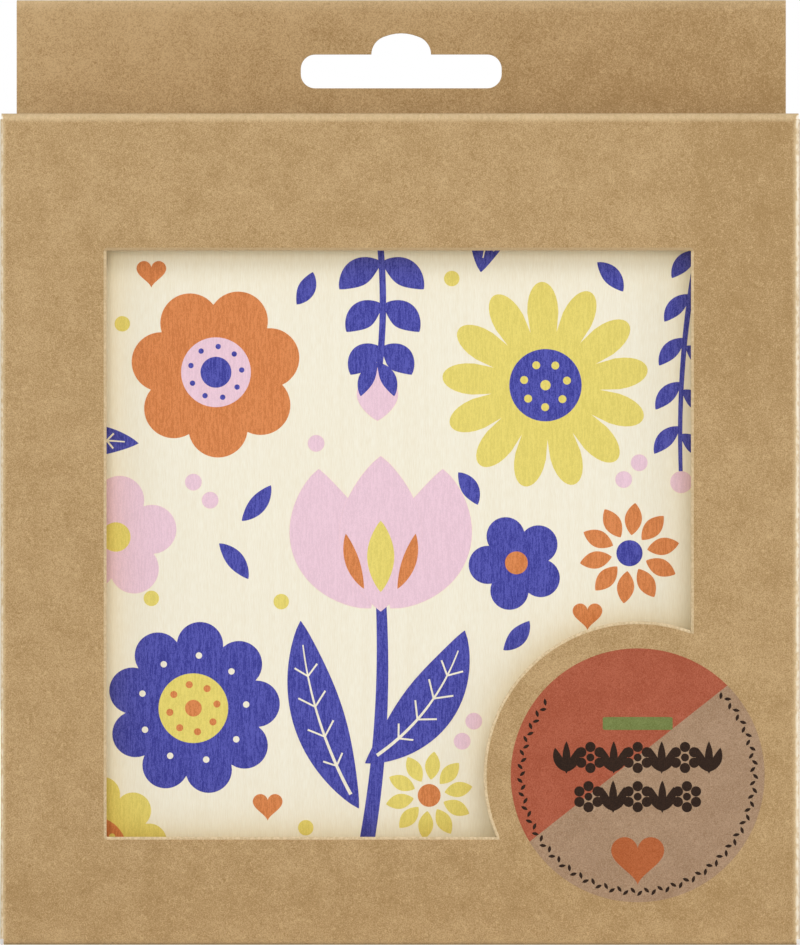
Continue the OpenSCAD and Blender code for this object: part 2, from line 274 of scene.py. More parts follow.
@dataclass(frozen=True)
class KraftFibres:
    """The curled fibres, mottling and flecks of kraft board, bare or printed."""

    mottle: float = 5 * MM
    fibre: float = 0.62 * MM
    grain: float = 0.17 * MM
    line: float = 0.05
    cloud_share: float = 0.44
    pale_share: float = 0.26
    dark_share: float = 0.24
    mean: float = 0.223
    curl: float = 0.8
    gap_ratio: float = 1.7
    gap_range: Point = (0.4, 0.55)
    dark_ratio: float = 0.85
    fleck_ratio: float = 0.8
    fleck_range: Point = (0.68, 0.78)

    def strands(self, graph: Graph, size: float, shift: float) -> Value:
        """Marks thin curled fibres.

        Formula: a fibre runs where smooth noise n of this size crosses its mean, so its mark
        is 1 at |n - 0.5| = 0 and 0 from the line width on. A coarser noise cuts it short.

        Args:
            graph: The material's graph.
            size: How tightly the fibres curl.
            shift: An offset that keeps two sets of fibres apart.

        Returns:
            The mark, from 0 to 1.
        """
        waves = graph.noise(size, detail=0, bend=self.curl, shift=shift)
        gaps = graph.noise(size * self.gap_ratio, detail=0, shift=shift + 5)
        return abs(waves - 0.5).band(self.line, 0.0) * gaps.band(*self.gap_range)

    def tone(self, graph: Graph) -> tuple[Value, Value]:
        """Adds the pattern.

        Formula: the mottling, the grain and the pale fibres, less the dark ones, each by its
        own share, less what brings the mean to 0.5. Flecks are where a last noise runs past a
        threshold.

        Args:
            graph: The material's graph.

        Returns:
            The tone around 0.5, and the dark flecks from 0 to 1.
        """
        cloud = graph.noise(self.mottle, detail=3)
        grain = graph.noise(self.grain, detail=1, shift=7.3)
        pale = self.strands(graph, self.fibre, 13.0)
        dark = self.strands(graph, self.fibre * self.dark_ratio, 31.0)
        flecks = graph.noise(self.fibre * self.fleck_ratio, detail=1, bend=1.5, shift=53.0)
        tone = cloud * self.cloud_share - self.mean + grain
        tone = tone + pale * self.pale_share - dark * self.dark_share
        return tone, flecks.band(*self.fleck_range)


@dataclass(frozen=True)
class KraftBoard:
    """Brown kraft board: felted fibres, dark flecks, pale cut edges, and pale creases from wear
    together with a painted highlight. Its tone also carries slow painted shade and painted light.
    """

    edges: CartonEdges
    side: Side
    light: Rgb = (204, 173, 128)
    dark: Rgb = (163, 131, 85)
    fleck: Rgb = (138, 104, 66)
    # Crease colours: real wear together with a painted highlight; the near-white one is mostly painted
    # highlight.
    wear_and_highlight: Rgb = (241, 216, 173)
    bleached_and_highlight: Rgb = (255, 248, 232)
    cut: Rgb = (214, 190, 150)
    left_reach: float = 1.0 * MM
    right_reach: float = 1.3 * MM
    top_reach: float = 0.65 * MM
    rim_reach: float = 1.7 * MM
    # How much each crease is paled by wear and painted highlight; at the foot it is painted light.
    foot_wear_and_light: float = 0.3
    top_wear_and_highlight: float = 0.58
    rim_wear_and_highlight: float = 0.26
    rear_wear_and_highlight: float = 0.55
    panel: Point = (2.4 * MM, 1.0 * MM)
    header_start: float = 25 * MM
    # Painted shade and painted light on the header, the front's foot and its upper right part.
    header_painted_fade: float = 0.075
    header_painted_light: float = 0.07
    header_painted_shade: float = 0.01
    foot_z: Size = (22 * MM, 6 * MM, 1 * MM)
    foot_painted_shade: float = 0.06
    foot_painted_light: float = 0.08
    corner_x: Point = (36 * MM, 54 * MM)
    corner_z: Point = (72 * MM, 94 * MM)
    corner_painted_shade: float = 0.11
    fleck_share: float = 0.4
    cut_share: float = 0.6
    tone_range: Point = (0.13, 0.87)
    # Patches and near-white share of the crease mark, which is wear and painted highlight.
    patchy_wear_and_highlight: Point = (0.56, 0.76)
    bleached_and_highlight_range: Point = (0.4, 0.9)
    cut_range: Point = (0.5, 0.3)
    crease_power: float = 1.4
    fibres: KraftFibres = KraftFibres()

    def near(self, value: Value, outer: float, reach: float | None = None) -> Value:
        """Rises from 0 to 1 over the reach, or the crease's radius, before an outer face."""
        return value.ramp(outer - (reach or self.edges.crease_r), outer)

    def folded(self, graph: Graph) -> Value:
        """Marks where the board bends round one of the carton's outer edges.

        Formula: there, two of the three shares near an outer side, the front or back and the
        top or foot are over 0, so the middle one of the three is over 0.

        Args:
            graph: The material's graph.

        Returns:
            1 on a bend and 0 elsewhere.
        """
        x, y, z = graph.place().axes()
        edges, middle = self.edges, self.edges.body_h / 2
        sides, faces = self.near(abs(x), edges.half_w), self.near(abs(y), edges.half_d)
        ends = self.near(abs(z - middle), middle)
        return sides.minimum(faces).maximum(sides.maximum(faces).minimum(ends)) > 0.001

    def crease(self, graph: Graph) -> Value:
        """Marks the carton's folded edges, paler from real wear and from a painted highlight.

        Formula: at an upright edge p is the product of the shares near its two faces, and the
        mark is the lesser of 1 and 2 p ** 1.4, and less at the rear. The lid's crease is
        paled down to a little below its fold, the header's only at its rim and the foot's
        hardly at all. At the foot the paleness is painted light on a bend in the floor's shade.

        Args:
            graph: The material's graph.

        Returns:
            The mark, from 0 to 1.
        """
        x, y, z = graph.place().axes()
        edges = self.edges
        left = self.near(x * -1.0, edges.half_w, self.left_reach)
        near_x = left.maximum(self.near(x, edges.half_w, self.right_reach))
        near_y = self.near(abs(y), edges.half_d, self.left_reach)
        foot = near_x.maximum(near_y) * z.ramp(edges.crease_r, 0.0) * self.foot_wear_and_light
        fold = edges.body_h - edges.crease_r
        top = z.band(fold - self.top_reach, fold + 0.2 * MM, high=self.top_wear_and_highlight)
        top = top * (y < edges.crease_r * 2 - edges.half_d)
        most = (((near_x * near_y) ** self.crease_power) * 2.0).maximum(foot).maximum(top)
        wear_and_highlight = most.minimum(1.0) * (z < edges.body_h + 0.1 * MM)
        wear_and_highlight = wear_and_highlight * y.band(0.0, edges.half_d, 1.0, self.rear_wear_and_highlight)
        return wear_and_highlight.maximum(z.band(edges.top - self.rim_reach, edges.top, high=self.rim_wear_and_highlight))

    def painted_shading(self, graph: Graph) -> Value:
        """Gives the painted shade and painted light in the board's slow changes of tone.

        Formula: the header, and the back just below it, is a little paler on its left than on
        its right, as painted shade, and paler at its rim than in the painted shade behind the
        lid. The front has painted shade in its upper right part and towards the foot, and
        painted light again just above it.

        Args:
            graph: The material's graph.

        Returns:
            What to add to the tone.
        """
        x, y, z = graph.place().axes()
        edges, fade, shade = self.edges, self.header_painted_fade, self.header_painted_shade
        inner, outer = self.panel
        rear = y.band(edges.half_d - inner, edges.half_d - outer)
        above = rear * z.band(edges.body_h - self.header_start, edges.body_h)
        rise = z.band(edges.body_h, edges.top, -shade, self.header_painted_light - shade)
        header = above * (x.band(-edges.half_w, edges.half_w, fade, -fade) + rise)
        high, low, ground = self.foot_z
        foot = z.band(high, low, high=-self.foot_painted_shade) + z.band(low, ground, high=self.foot_painted_light)
        front = y.band(inner - edges.half_d, outer - edges.half_d)
        corner = x.band(*self.corner_x) * z.band(*self.corner_z) * front
        return header + foot + corner * -self.corner_painted_shade

    def material(self) -> Material:
        """Builds the material.

        Returns:
            The material for panels that face this side.
        """
        graph = finish("kraft_board_" + self.side.name.lower())
        tone, flecks = self.fibres.tone(graph)
        # The tone takes the slow painted shade and painted light.
        shaded = (tone + self.painted_shading(graph)).band(*self.tone_range)
        board = graph.mix(shaded, self.dark, self.light)
        board = graph.mix(flecks * self.fleck_share, board, self.fleck)
        wear = graph.noise(upright(0.5, 0.9), detail=2, shift=3.1).band(0.3, 0.6, *self.patchy_wear_and_highlight)
        # Pale creases: real wear together with a painted highlight.
        wear_and_highlight = self.crease(graph) * wear
        board = graph.mix(wear_and_highlight, board, self.wear_and_highlight)
        board = graph.mix(wear_and_highlight.band(*self.bleached_and_highlight_range), board, self.bleached_and_highlight)
        across = abs(graph.facing().axes()[self.side.value])
        edge_on = across.band(*self.cut_range) * (1.0 - self.folded(graph))
        board = graph.mix(edge_on * self.cut_share, board, self.cut)
        return graph.surface(board, roughness=0.86, sheen=0.22, Normal=tone.relief(0.05 * MM))


@dataclass(frozen=True)
class BurrFibresAndPaintedLight:
    """Fine torn fibres along a die-cut edge of kraft board, pale partly from a painted highlight, with
    painted shade along the window's upper edge and a little at its sides.
    """

    # Pale and dull: the torn fibres' colour together with a painted highlight. Shade: painted shade.
    pale: Rgb = (230, 207, 168)
    dull: Rgb = (210, 186, 146)
    shade: Rgb = (176, 148, 108)
    top: float = 107.1 * MM
    middle: float = -0.2 * MM
    half_w: float = 45.0 * MM
    upper_painted_shade: float = 0.8
    side_painted_shade: float = 0.25

    def material(self) -> Material:
        """Builds the material, with painted shade at the window's upper edge and a little at its sides.

        Returns:
            The burr's material.
        """
        graph = finish("burr_fibres_and_painted_light")
        x, _, z = graph.place().axes()
        frayed = graph.noise(0.35 * MM, detail=2).band(0.35, 0.65)
        # Painted shade on the upper edge, which faces down, and a little on the left and right sides.
        upper = (z > self.top) * self.upper_painted_shade
        sides = (abs(x - self.middle) > self.half_w) * self.side_painted_shade
        colour = graph.mix(upper.maximum(sides), graph.mix(frayed, self.dull, self.pale), self.shade)
        bumps = frayed.relief(0.04 * MM, strength=1.0)
        return graph.surface(colour, roughness=0.9, sheen=0.15, Normal=bumps)


@dataclass(frozen=True)
class BoardGlow:
    """The warm light that reaches the plate by way of the window's board."""

    reach: float = 12 * MM
    hue: tuple[float, ...] = (1.16, 0.97, 0.58, 1.0)
    samples: int = 8

    def over(self, graph: Graph, colour: Value) -> Value:
        """Warms a colour near the window's edge.

        Formula: where a share s of what the point faces within the reach is covered, the
        colour is multiplied by 1 - s + s times the hue.

        Args:
            graph: The material's graph.
            colour: The colour in the open.

        Returns:
            The warmed colour.
        """
        clear = graph.node("AmbientOcclusion", {"Distance": self.reach}, "AO", samples=self.samples)
        inputs = {0: 1.0 - clear, 6: colour, 7: self.hue}
        return graph.node("Mix", inputs, 2, data_type="RGBA", blend_type="MULTIPLY")


class Ground(Enum):
    """What an ink is printed on."""

    WOOD = "wood"
    BOARD = "board"


@dataclass(frozen=True)
class WoodStreaks:
    """Fine upright grain of a planed veneer, in millimetres."""

    width: float = 0.13
    length: float = 1.6
    broad: float = 0.8
    stretch: float = 18

    def tone(self, graph: Graph) -> Value:
        """Adds the grain.

        Formula: fine streaks and broad ones, mixed 3 to 1.

        Args:
            graph: The material's graph.

        Returns:
            The tone around 0.5.
        """
        fine = graph.noise(upright(self.width, self.length), detail=3, bend=0.3)
        size = upright(self.broad, self.length * self.stretch)
        return (fine * 3.0 + graph.noise(size, detail=2, bend=0.4, shift=5.0)) / 4.0


@dataclass(frozen=True)
class PrintInk:
    """One printed colour, through which the ground's grain or fibres show."""

    name: str
    shade: Rgb
    ground: Ground = Ground.WOOD
    lift: float = 10.0

    def show_through(self, graph: Graph) -> tuple[Value, float]:
        """Adds what the ground does to the ink.

        Formula: on wood, short and long upright pores and a fine grain in equal parts; on
        board, its fibres less its flecks.

        Args:
            graph: The material's graph.

        Returns:
            The share of the paler shade, and the relief's depth.
        """
        if self.ground is Ground.BOARD:
            tone, flecks = KraftFibres().tone(graph)
            return (tone - flecks * 0.2).band(0.2, 0.8), 0.04 * MM
        pores = graph.noise(upright(0.15, 0.5), detail=1, bend=0.5, shift=3.0)
        tone = pores + graph.noise(0.13 * MM, detail=1, shift=17.0)
        tone = tone + graph.noise(upright(0.22, 2.2), detail=1, bend=0.3, shift=29.0)
        return (tone / 3.0).band(0.41, 0.59), 0.015 * MM

    def material(self) -> Material:
        """Builds the material.

        Returns:
            The ink's material.
        """
        graph = finish(self.name + "_ink")
        share, depth = self.show_through(graph)
        deep, pale = (np.clip(np.array(self.shade) + lift, 0, 255) for lift in (-self.lift, self.lift))
        colour, sheen = graph.mix(share, deep, pale), 0.15
        if self.ground is Ground.WOOD:
            colour, sheen = BoardGlow().over(graph, colour), 0.3
        return graph.surface(colour, roughness=0.62, sheen=sheen, Normal=share.relief(depth))


@dataclass(frozen=True)
class PlyBands:
    """The layers that show on a plywood plate's edges."""

    front_y: float
    thickness: float
    count: int = 5
    wobble: float = 0.25
    glue_share: float = 0.7
    face: Rgb = (226, 200, 156)
    core: Rgb = (188, 150, 100)
    glue: Rgb = (112, 78, 48)

    def colour(self, graph: Graph) -> Value:
        """Adds the layers.

        Formula: the distance behind the front face in units of one veneer, f; odd veneers
        are core and show end grain, and |frac(f) - 0.5| near 0.5 is a glue line.

        Args:
            graph: The material's graph.

        Returns:
            The edge's colour.
        """
        wobble = graph.noise(6 * MM, detail=2) * self.wobble
        layer = (graph.place().axes()[1] - self.front_y) / (self.thickness / self.count)
        layer = layer + (wobble - self.wobble / 2)
        grain = graph.noise((0.25 * MM, 0.1 * MM, 0.25 * MM), detail=3).band(0.3, 0.7)
        core = graph.mix(grain, self.core, self.face)
        streaks = graph.noise((7 * MM, 0.12 * MM, 7 * MM), detail=2).band(0.35, 0.75, high=0.35)
        face = graph.mix(streaks, self.face, self.core)
        wood = graph.mix(layer % 2.0 > 1.0, face, core)
        glue = abs(layer.fract() - 0.5).band(0.44, 0.49, high=self.glue_share)
        return graph.mix(glue, wood, self.glue)


@dataclass(frozen=True)
class BareVeneer:
    """Planed, unpainted veneer with upright grain, pores and a few mineral streaks."""

    ring_count: float = 46.0
    ring_share: float = 0.16
    pore_share: float = 0.6
    light: Rgb = (232, 208, 166)
    dark: Rgb = (204, 170, 120)
    pore: Rgb = (160, 120, 78)

    def colour(self, graph: Graph) -> Value:
        """Adds the veneer.

        Formula: rings are a sine of slow upright noise, mixed with fine streaks; pores are
        where short thin noise runs past a threshold.

        Args:
            graph: The material's graph.

        Returns:
            The veneer's colour.
        """
        rings = (graph.noise(upright(9, 90), detail=2, bend=0.6, shift=2.0) * self.ring_count).sine()
        tone = rings * self.ring_share + WoodStreaks().tone(graph)
        wood = graph.mix(tone.band(0.2, 0.8), self.light, self.dark)
        pores = graph.noise(upright(0.16, 1.8), detail=0, bend=0.2, shift=11.0)
        return graph.mix(pores.band(0.7, 0.8, high=self.pore_share), wood, self.pore)


@dataclass(frozen=True)
class PrintedPly:
    """A plywood plate with a cream coat on its front face, through which the grain shows."""

    bands: PlyBands
    cream: Rgb = (247, 242, 224)
    shade: Rgb = (240, 232, 209)

    def material(self) -> Material:
        """Builds the material.

        Returns:
            The front plate's material.
        """
        graph = finish("printed_plywood")
        tone = WoodStreaks().tone(graph)
        coat = BoardGlow().over(graph, graph.mix(tone.band(0.7, 0.3), self.cream, self.shade))
        facing = graph.facing().axes()[1]
        wood = graph.mix(abs(facing) > 0.5, self.bands.colour(graph), BareVeneer().colour(graph))
        colour = graph.mix(facing < -0.5, wood, coat)
        bumps = tone.relief(0.03 * MM, strength=0.45)
        return graph.surface(colour, roughness=0.6, sheen=0.3, Normal=bumps)


@dataclass(frozen=True)
class BarePly:
    """A bare sanded plywood plate, with the rings that the washers pressed into its back."""

    bands: PlyBands
    bolt_x: float
    bolt_z: Point
    washer_r: float
    ring_half: float = 0.45 * MM
    ring_share: float = 0.5
    pressed: Rgb = (170, 138, 96)

    def material(self) -> Material:
        """Builds the material.

        Formula: the distance to the nearest bolt comes from |x| and |z - middle|, and the
        wear is a thin ring at the washer's radius.

        Returns:
            The rear plate's material.
        """
        graph = finish("bare_plywood")
        x, _, z = graph.place().axes()
        low, high = self.bolt_z
        across, up = abs(x) - self.bolt_x, abs(z - (low + high) / 2) - (high - low) / 2
        from_ring = (across**2.0 + up**2.0).root() - self.washer_r
        ring = abs(from_ring).band(self.ring_half, 0.0, high=self.ring_share)
        face = graph.mix(ring, BareVeneer().colour(graph), self.pressed)
        flat = abs(graph.facing().axes()[1]) > 0.5
        colour = graph.mix(flat, self.bands.colour(graph), face)
        bumps = WoodStreaks().tone(graph).relief(0.05 * MM)
        return graph.surface(colour, roughness=0.64, sheen=0.3, Normal=bumps)


@dataclass(frozen=True)
class CorrugatedPaper:
    """Brown test liner over flutes, whose lines show faintly as a bump and as painted shade in its
    tone.
    """

    pitch: float = 6.4 * MM
    wave_bump_and_shade: float = 0.08
    fleck_share: float = 0.5
    fibre: float = 0.9 * MM
    light: Rgb = (206, 176, 134)
    dark: Rgb = (176, 143, 100)
    fleck: Rgb = (132, 98, 62)

    def material(self) -> Material:
        """Builds the material.

        Formula: the washboard is a cosine of X at the flutes' pitch, added to the fibres.

        Returns:
            The cards' material.
        """
        graph = finish("corrugated_paper")
        wave = (graph.place().axes()[0] * (2 * math.pi / self.pitch)).cosine()
        tone, flecks = KraftFibres(fibre=self.fibre).tone(graph)
        raised = tone + wave * self.wave_bump_and_shade
        # The washboard in the colour is painted shade of the flutes; the same wave also makes the bump.
        paper = graph.mix(raised.band(0.1, 0.9), self.dark, self.light)
        paper = graph.mix(flecks * self.fleck_share, paper, self.fleck)
        bumps = raised.relief(0.12 * MM, strength=0.6)
        return graph.surface(paper, roughness=0.88, sheen=0.2, Normal=bumps)


@dataclass(frozen=True)
class BlottingPaper:
    """Thick white absorbent paper with a soft, unsized felt surface."""

    light: Rgb = (246, 243, 233)
    dark: Rgb = (229, 224, 208)

    def material(self) -> Material:
        """Builds the material.

        Formula: cloudy pulp of two sizes, added.

        Returns:
            The papers' material.
        """
        graph = finish("blotting_paper")
        clouds = graph.noise(1.7 * MM, detail=4, bend=0.8)
        tone = (clouds + graph.noise(0.24 * MM, detail=2, bend=1.5, shift=4.0)) * 0.5
        paper = graph.mix(tone.band(0.3, 0.7), self.dark, self.light)
        bumps = tone.relief(0.09 * MM, strength=0.7)
        return graph.surface(paper, roughness=0.93, sheen=0.15, Normal=bumps)


@dataclass(frozen=True)
class ZincSteel:
    """Bright zinc-plated steel with cloudy plating and fine tumbling marks."""

    bright: Rgb = (214, 217, 221)
    dull: Rgb = (176, 182, 190)
    roughness: Point = (0.24, 0.42)

    def material(self) -> Material:
        """Builds the material.

        Formula: plating clouds set the colour, and finer marks the roughness and bump.

        Returns:
            The hardware's material.
        """
        graph = finish("zinc_plated_steel")
        clouds = graph.noise(2.2 * MM, detail=3, bend=0.6)
        marks = graph.noise(0.25 * MM, detail=3, bend=1.0, shift=9.0)
        colour = graph.mix(clouds.band(0.3, 0.7), self.dull, self.bright)
        rough = marks.band(0.3, 0.7, *self.roughness)
        return graph.surface(colour, roughness=rough, Metallic=1.0, Normal=marks.relief(0.02 * MM))


@dataclass
class Shell:
    """A closed surface as points and faces, before it is an object."""

    points: Array
    faces: list[Array]

    @staticmethod
    def from_rows(rows: Array, start: Array | None = None, end: Array | None = None) -> "Shell":
        """Closes a grid of rows into a shell.

        Formula: each row is a closed ring, so column c joins column c + 1 modulo the count.
        The first and last rows close in a fan to one point each, or, without these points,
        to each other.

        Args:
            rows: Points of shape (rows, columns, 3).
            start: The point that closes the first row.
            end: The point that closes the last row.

        Returns:
            The shell, with its faces outwards.
        """
        count, columns = rows.shape[:2]
        ring = np.arange(columns)
        after = (ring + 1) % columns
        low = np.arange(count if start is None else count - 1)[:, None]
        high = (low + 1) % count * columns
        low = low * columns
        quads = np.stack([low + ring, low + after, high + after, high + ring], -1).reshape(-1, 4)
        points, fans = rows.reshape(-1, 3), []
        if start is not None:
            first, last_row = np.full(columns, len(points)), (count - 1) * columns
            fans = [
                np.stack([after, ring, first], -1),
                np.stack([last_row + ring, last_row + after, first + 1], -1),
            ]
            points = np.vstack([points, start, end])
        return Shell(points, [quads, *fans]).outward()

    def outward(self) -> "Shell":
        """Gives the shell with its faces outwards.

        Formula: the enclosed volume is a sixth of the sum of a . (b x c) over all triangles,
        and its sign says which way the faces are.

        Returns:
            The same shell, or one with its faces the other way round.
        """
        total = 0.0
        for group in self.faces:
            for corner in range(1, group.shape[1] - 1):
                a, b, c = (self.points[group[:, i]] for i in (0, corner, corner + 1))
                total += float(np.einsum("ij,ij->", a, np.cross(b, c)))
        return self if total > 0 else Shell(self.points, [group[:, ::-1] for group in self.faces])


def add_object(name: str, data: bpy.types.ID) -> bpy.types.Object:
    """Puts a mesh, a camera or a lamp into the scene.

    Args:
        name: The new object's name.
        data: What the object shows.

    Returns:
        The object.
    """
    made = bpy.data.objects.new(name, data)
    bpy.context.scene.collection.objects.link(made)
    return made


@dataclass
class Piece:
    """A finished piece: shells joined into one object that rides on a body."""

    name: str
    body: str
    material: Material
    slot: str
    shells: list[Shell]
    smooth: bool = False

    def build(self, *replaced: str) -> None:
        """Makes the object and places it in the frame.

        Args:
            replaced: The CAD nodes that the piece stands for.
        """
        corners, starts, points, corner_count, point_count = [], [], [], 0, 0
        for shell in self.shells:
            for group in shell.faces:
                starts.append(corner_count + np.arange(len(group)) * group.shape[1])
                corners.append((group + point_count).ravel())
                corner_count += group.size
            points.append(shell.points)
            point_count += len(shell.points)
        mesh = bpy.data.meshes.new(self.name)
        mesh.vertices.add(point_count)
        mesh.vertices.foreach_set("co", np.vstack(points).astype(np.float32).ravel())
        mesh.loops.add(corner_count)
        mesh.loops.foreach_set("vertex_index", np.concatenate(corners).astype(np.int32))
        first = np.concatenate(starts).astype(np.int32)
        mesh.polygons.add(len(first))
        mesh.polygons.foreach_set("loop_start", first)
        mesh.update(calc_edges=True)
        mesh.validate()
        if self.smooth:
            mesh.shade_smooth()
            mesh.set_sharp_from_angle(angle=SHARP_ANGLE)
        else:
            mesh.shade_flat()
        mesh.materials.append(self.material)
        made = add_object(self.name, mesh)
        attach(made, self.body)
        if replaced:
            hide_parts(*replaced)
        log.info("%s rides on %s with %d points", self.name, self.body, point_count)


def angles(count: int) -> Array:
    """Gives evenly spaced angles round a full turn."""
    return np.linspace(0, 2 * math.pi, count, endpoint=False)


def polar(radius: Array | float, angle: Array) -> Array:
    """Gives the flat points (r cos a, r sin a)."""
    return np.stack([radius * np.cos(angle), radius * np.sin(angle)], -1)


def turned(radius: Array, angle: Array, w: Array, closed: bool = False) -> Shell:
    """Gives the shell of the points (r cos a, r sin a, w) round an axis.

    Args:
        radius: r for each row, or for each row and column.
        angle: a for each column.
        w: The place along the axis of each row, of shape (rows, 1).
        closed: Whether the last row joins the first, as a ring's does, and not the axis.

    Returns:
        The shell.
    """
    rows = np.broadcast_arrays(radius * np.cos(angle), radius * np.sin(angle), w)
    ends = [] if closed else [np.array([0, 0, w[i, 0]]) for i in (0, -1)]
    return Shell.from_rows(np.stack(rows, -1), *ends)


def turned_profile(profile: Array, columns: int = 56, closed: bool = False) -> Shell:
    """Turns a profile of points (r, w) about the axis. A ring's profile is closed."""
    return turned(profile[:, :1], angles(columns), profile[:, 1:], closed)


def circle(radius: float, count: int = 48) -> Array:
    """Gives a circle's outline."""
    return polar(radius, angles(count))


def arc(centre: Point, radius: float, start: float, end: float, count: int) -> Array:
    """Gives an arc of this many points from one angle to another, in degrees."""
    return np.array(centre) + polar(radius, np.radians(np.linspace(start, end, count)))


def straight(start: Point, end: Point) -> Array:
    """Gives a straight run with a point about every 2 mm, without its last point."""
    share = np.linspace(0, 1, max(int(math.dist(start, end) / 2), 2), endpoint=False)[:, None]
    return np.array(start) * (1 - share) + np.array(end) * share


def round_petals(petals: int, reach: float, petal_r: float, turn: float = 0.0) -> Array:
    """Gives a flower of round petals.

    Formula: each petal is a circle of radius p at distance d = reach - p from the middle, so
    at an angle a from its axis the outline lies at d cos a + sqrt(p^2 - (d sin a)^2).

    Args:
        petals: How many petals.
        reach: From the middle to a petal's tip.
        petal_r: A petal's radius.
        turn: The first petal's angle in degrees.

    Returns:
        Points of shape (count, 2).
    """
    angle, share, middle = angles(petals * 20), 2 * math.pi / petals, reach - petal_r
    off_axis = (angle + share / 2) % share - share / 2
    inside = np.maximum(petal_r**2 - (middle * np.sin(off_axis)) ** 2, 0)
    return polar(middle * np.cos(off_axis) + np.sqrt(inside), angle + math.radians(turn))


def long_petals(petals: int, reach: float, inner: float, turn: float = 0.0) -> Array:
    """Gives a daisy of long narrow petals: r = inner + (reach - inner) |cos(n a / 2)| ** 0.55.

    Args:
        petals: How many petals.
        reach: From the middle to a petal's tip.
        inner: From the middle to the notch between two petals.
        turn: The first petal's angle in degrees.

    Returns:
        Points of shape (count, 2).
    """
    angle = angles(petals * 16)
    radius = inner + (reach - inner) * np.abs(np.cos(petals * angle / 2)) ** 0.55
    return polar(radius, angle + math.radians(turn))


def heart(width: float) -> Array:
    """Gives a heart: x = 16 sin^3 t, z = 13 cos t - 5 cos 2t - 2 cos 3t - cos 4t, scaled.

    Args:
        width: Its full width.

    Returns:
        Points of shape (60, 2).
    """
    t = angles(60)
    up = 13 * np.cos(t) - 5 * np.cos(2 * t) - 2 * np.cos(3 * t) - np.cos(4 * t)
    return np.stack([16 * np.sin(t) ** 3, up], -1) * width / 32


def bow(start: Point, end: Point, bend: float, count: int = 26) -> Array:
    """Gives a curve between two points.

    Formula: (1 - t)^2 A + 2 t (1 - t) C + t^2 B, where C lies beside the middle of A and B.

    Args:
        start: Where it starts.
        end: Where it ends.
        bend: How far C lies to the left of the way from start to end.
        count: How many points it has.

    Returns:
        Points of shape (count, 2).
    """
    a, b = np.array(start, float), np.array(end, float)
    along = b - a
    control = (a + b) / 2 + np.array([-along[1], along[0]]) / np.linalg.norm(along) * bend
    t = np.linspace(0, 1, count)[:, None]
    return (1 - t) ** 2 * a + 2 * t * (1 - t) * control + t**2 * b


def headings(path: Array) -> tuple[Array, Array]:
    """Gives the unit directions along a path and to its left.

    Args:
        path: Points of shape (count, 2).

    Returns:
        Both directions at each point.
    """
    along = np.gradient(path, axis=0)
    along /= np.linalg.norm(along, axis=1, keepdims=True)
    return along, np.stack([-along[:, 1], along[:, 0]], -1)


@dataclass(frozen=True)
class Dots:
    """Equal dots on a ring, the first at an angle of so many degrees."""

    ring_r: float
    count: int
    dot_r: float
    turn: float = 0.0


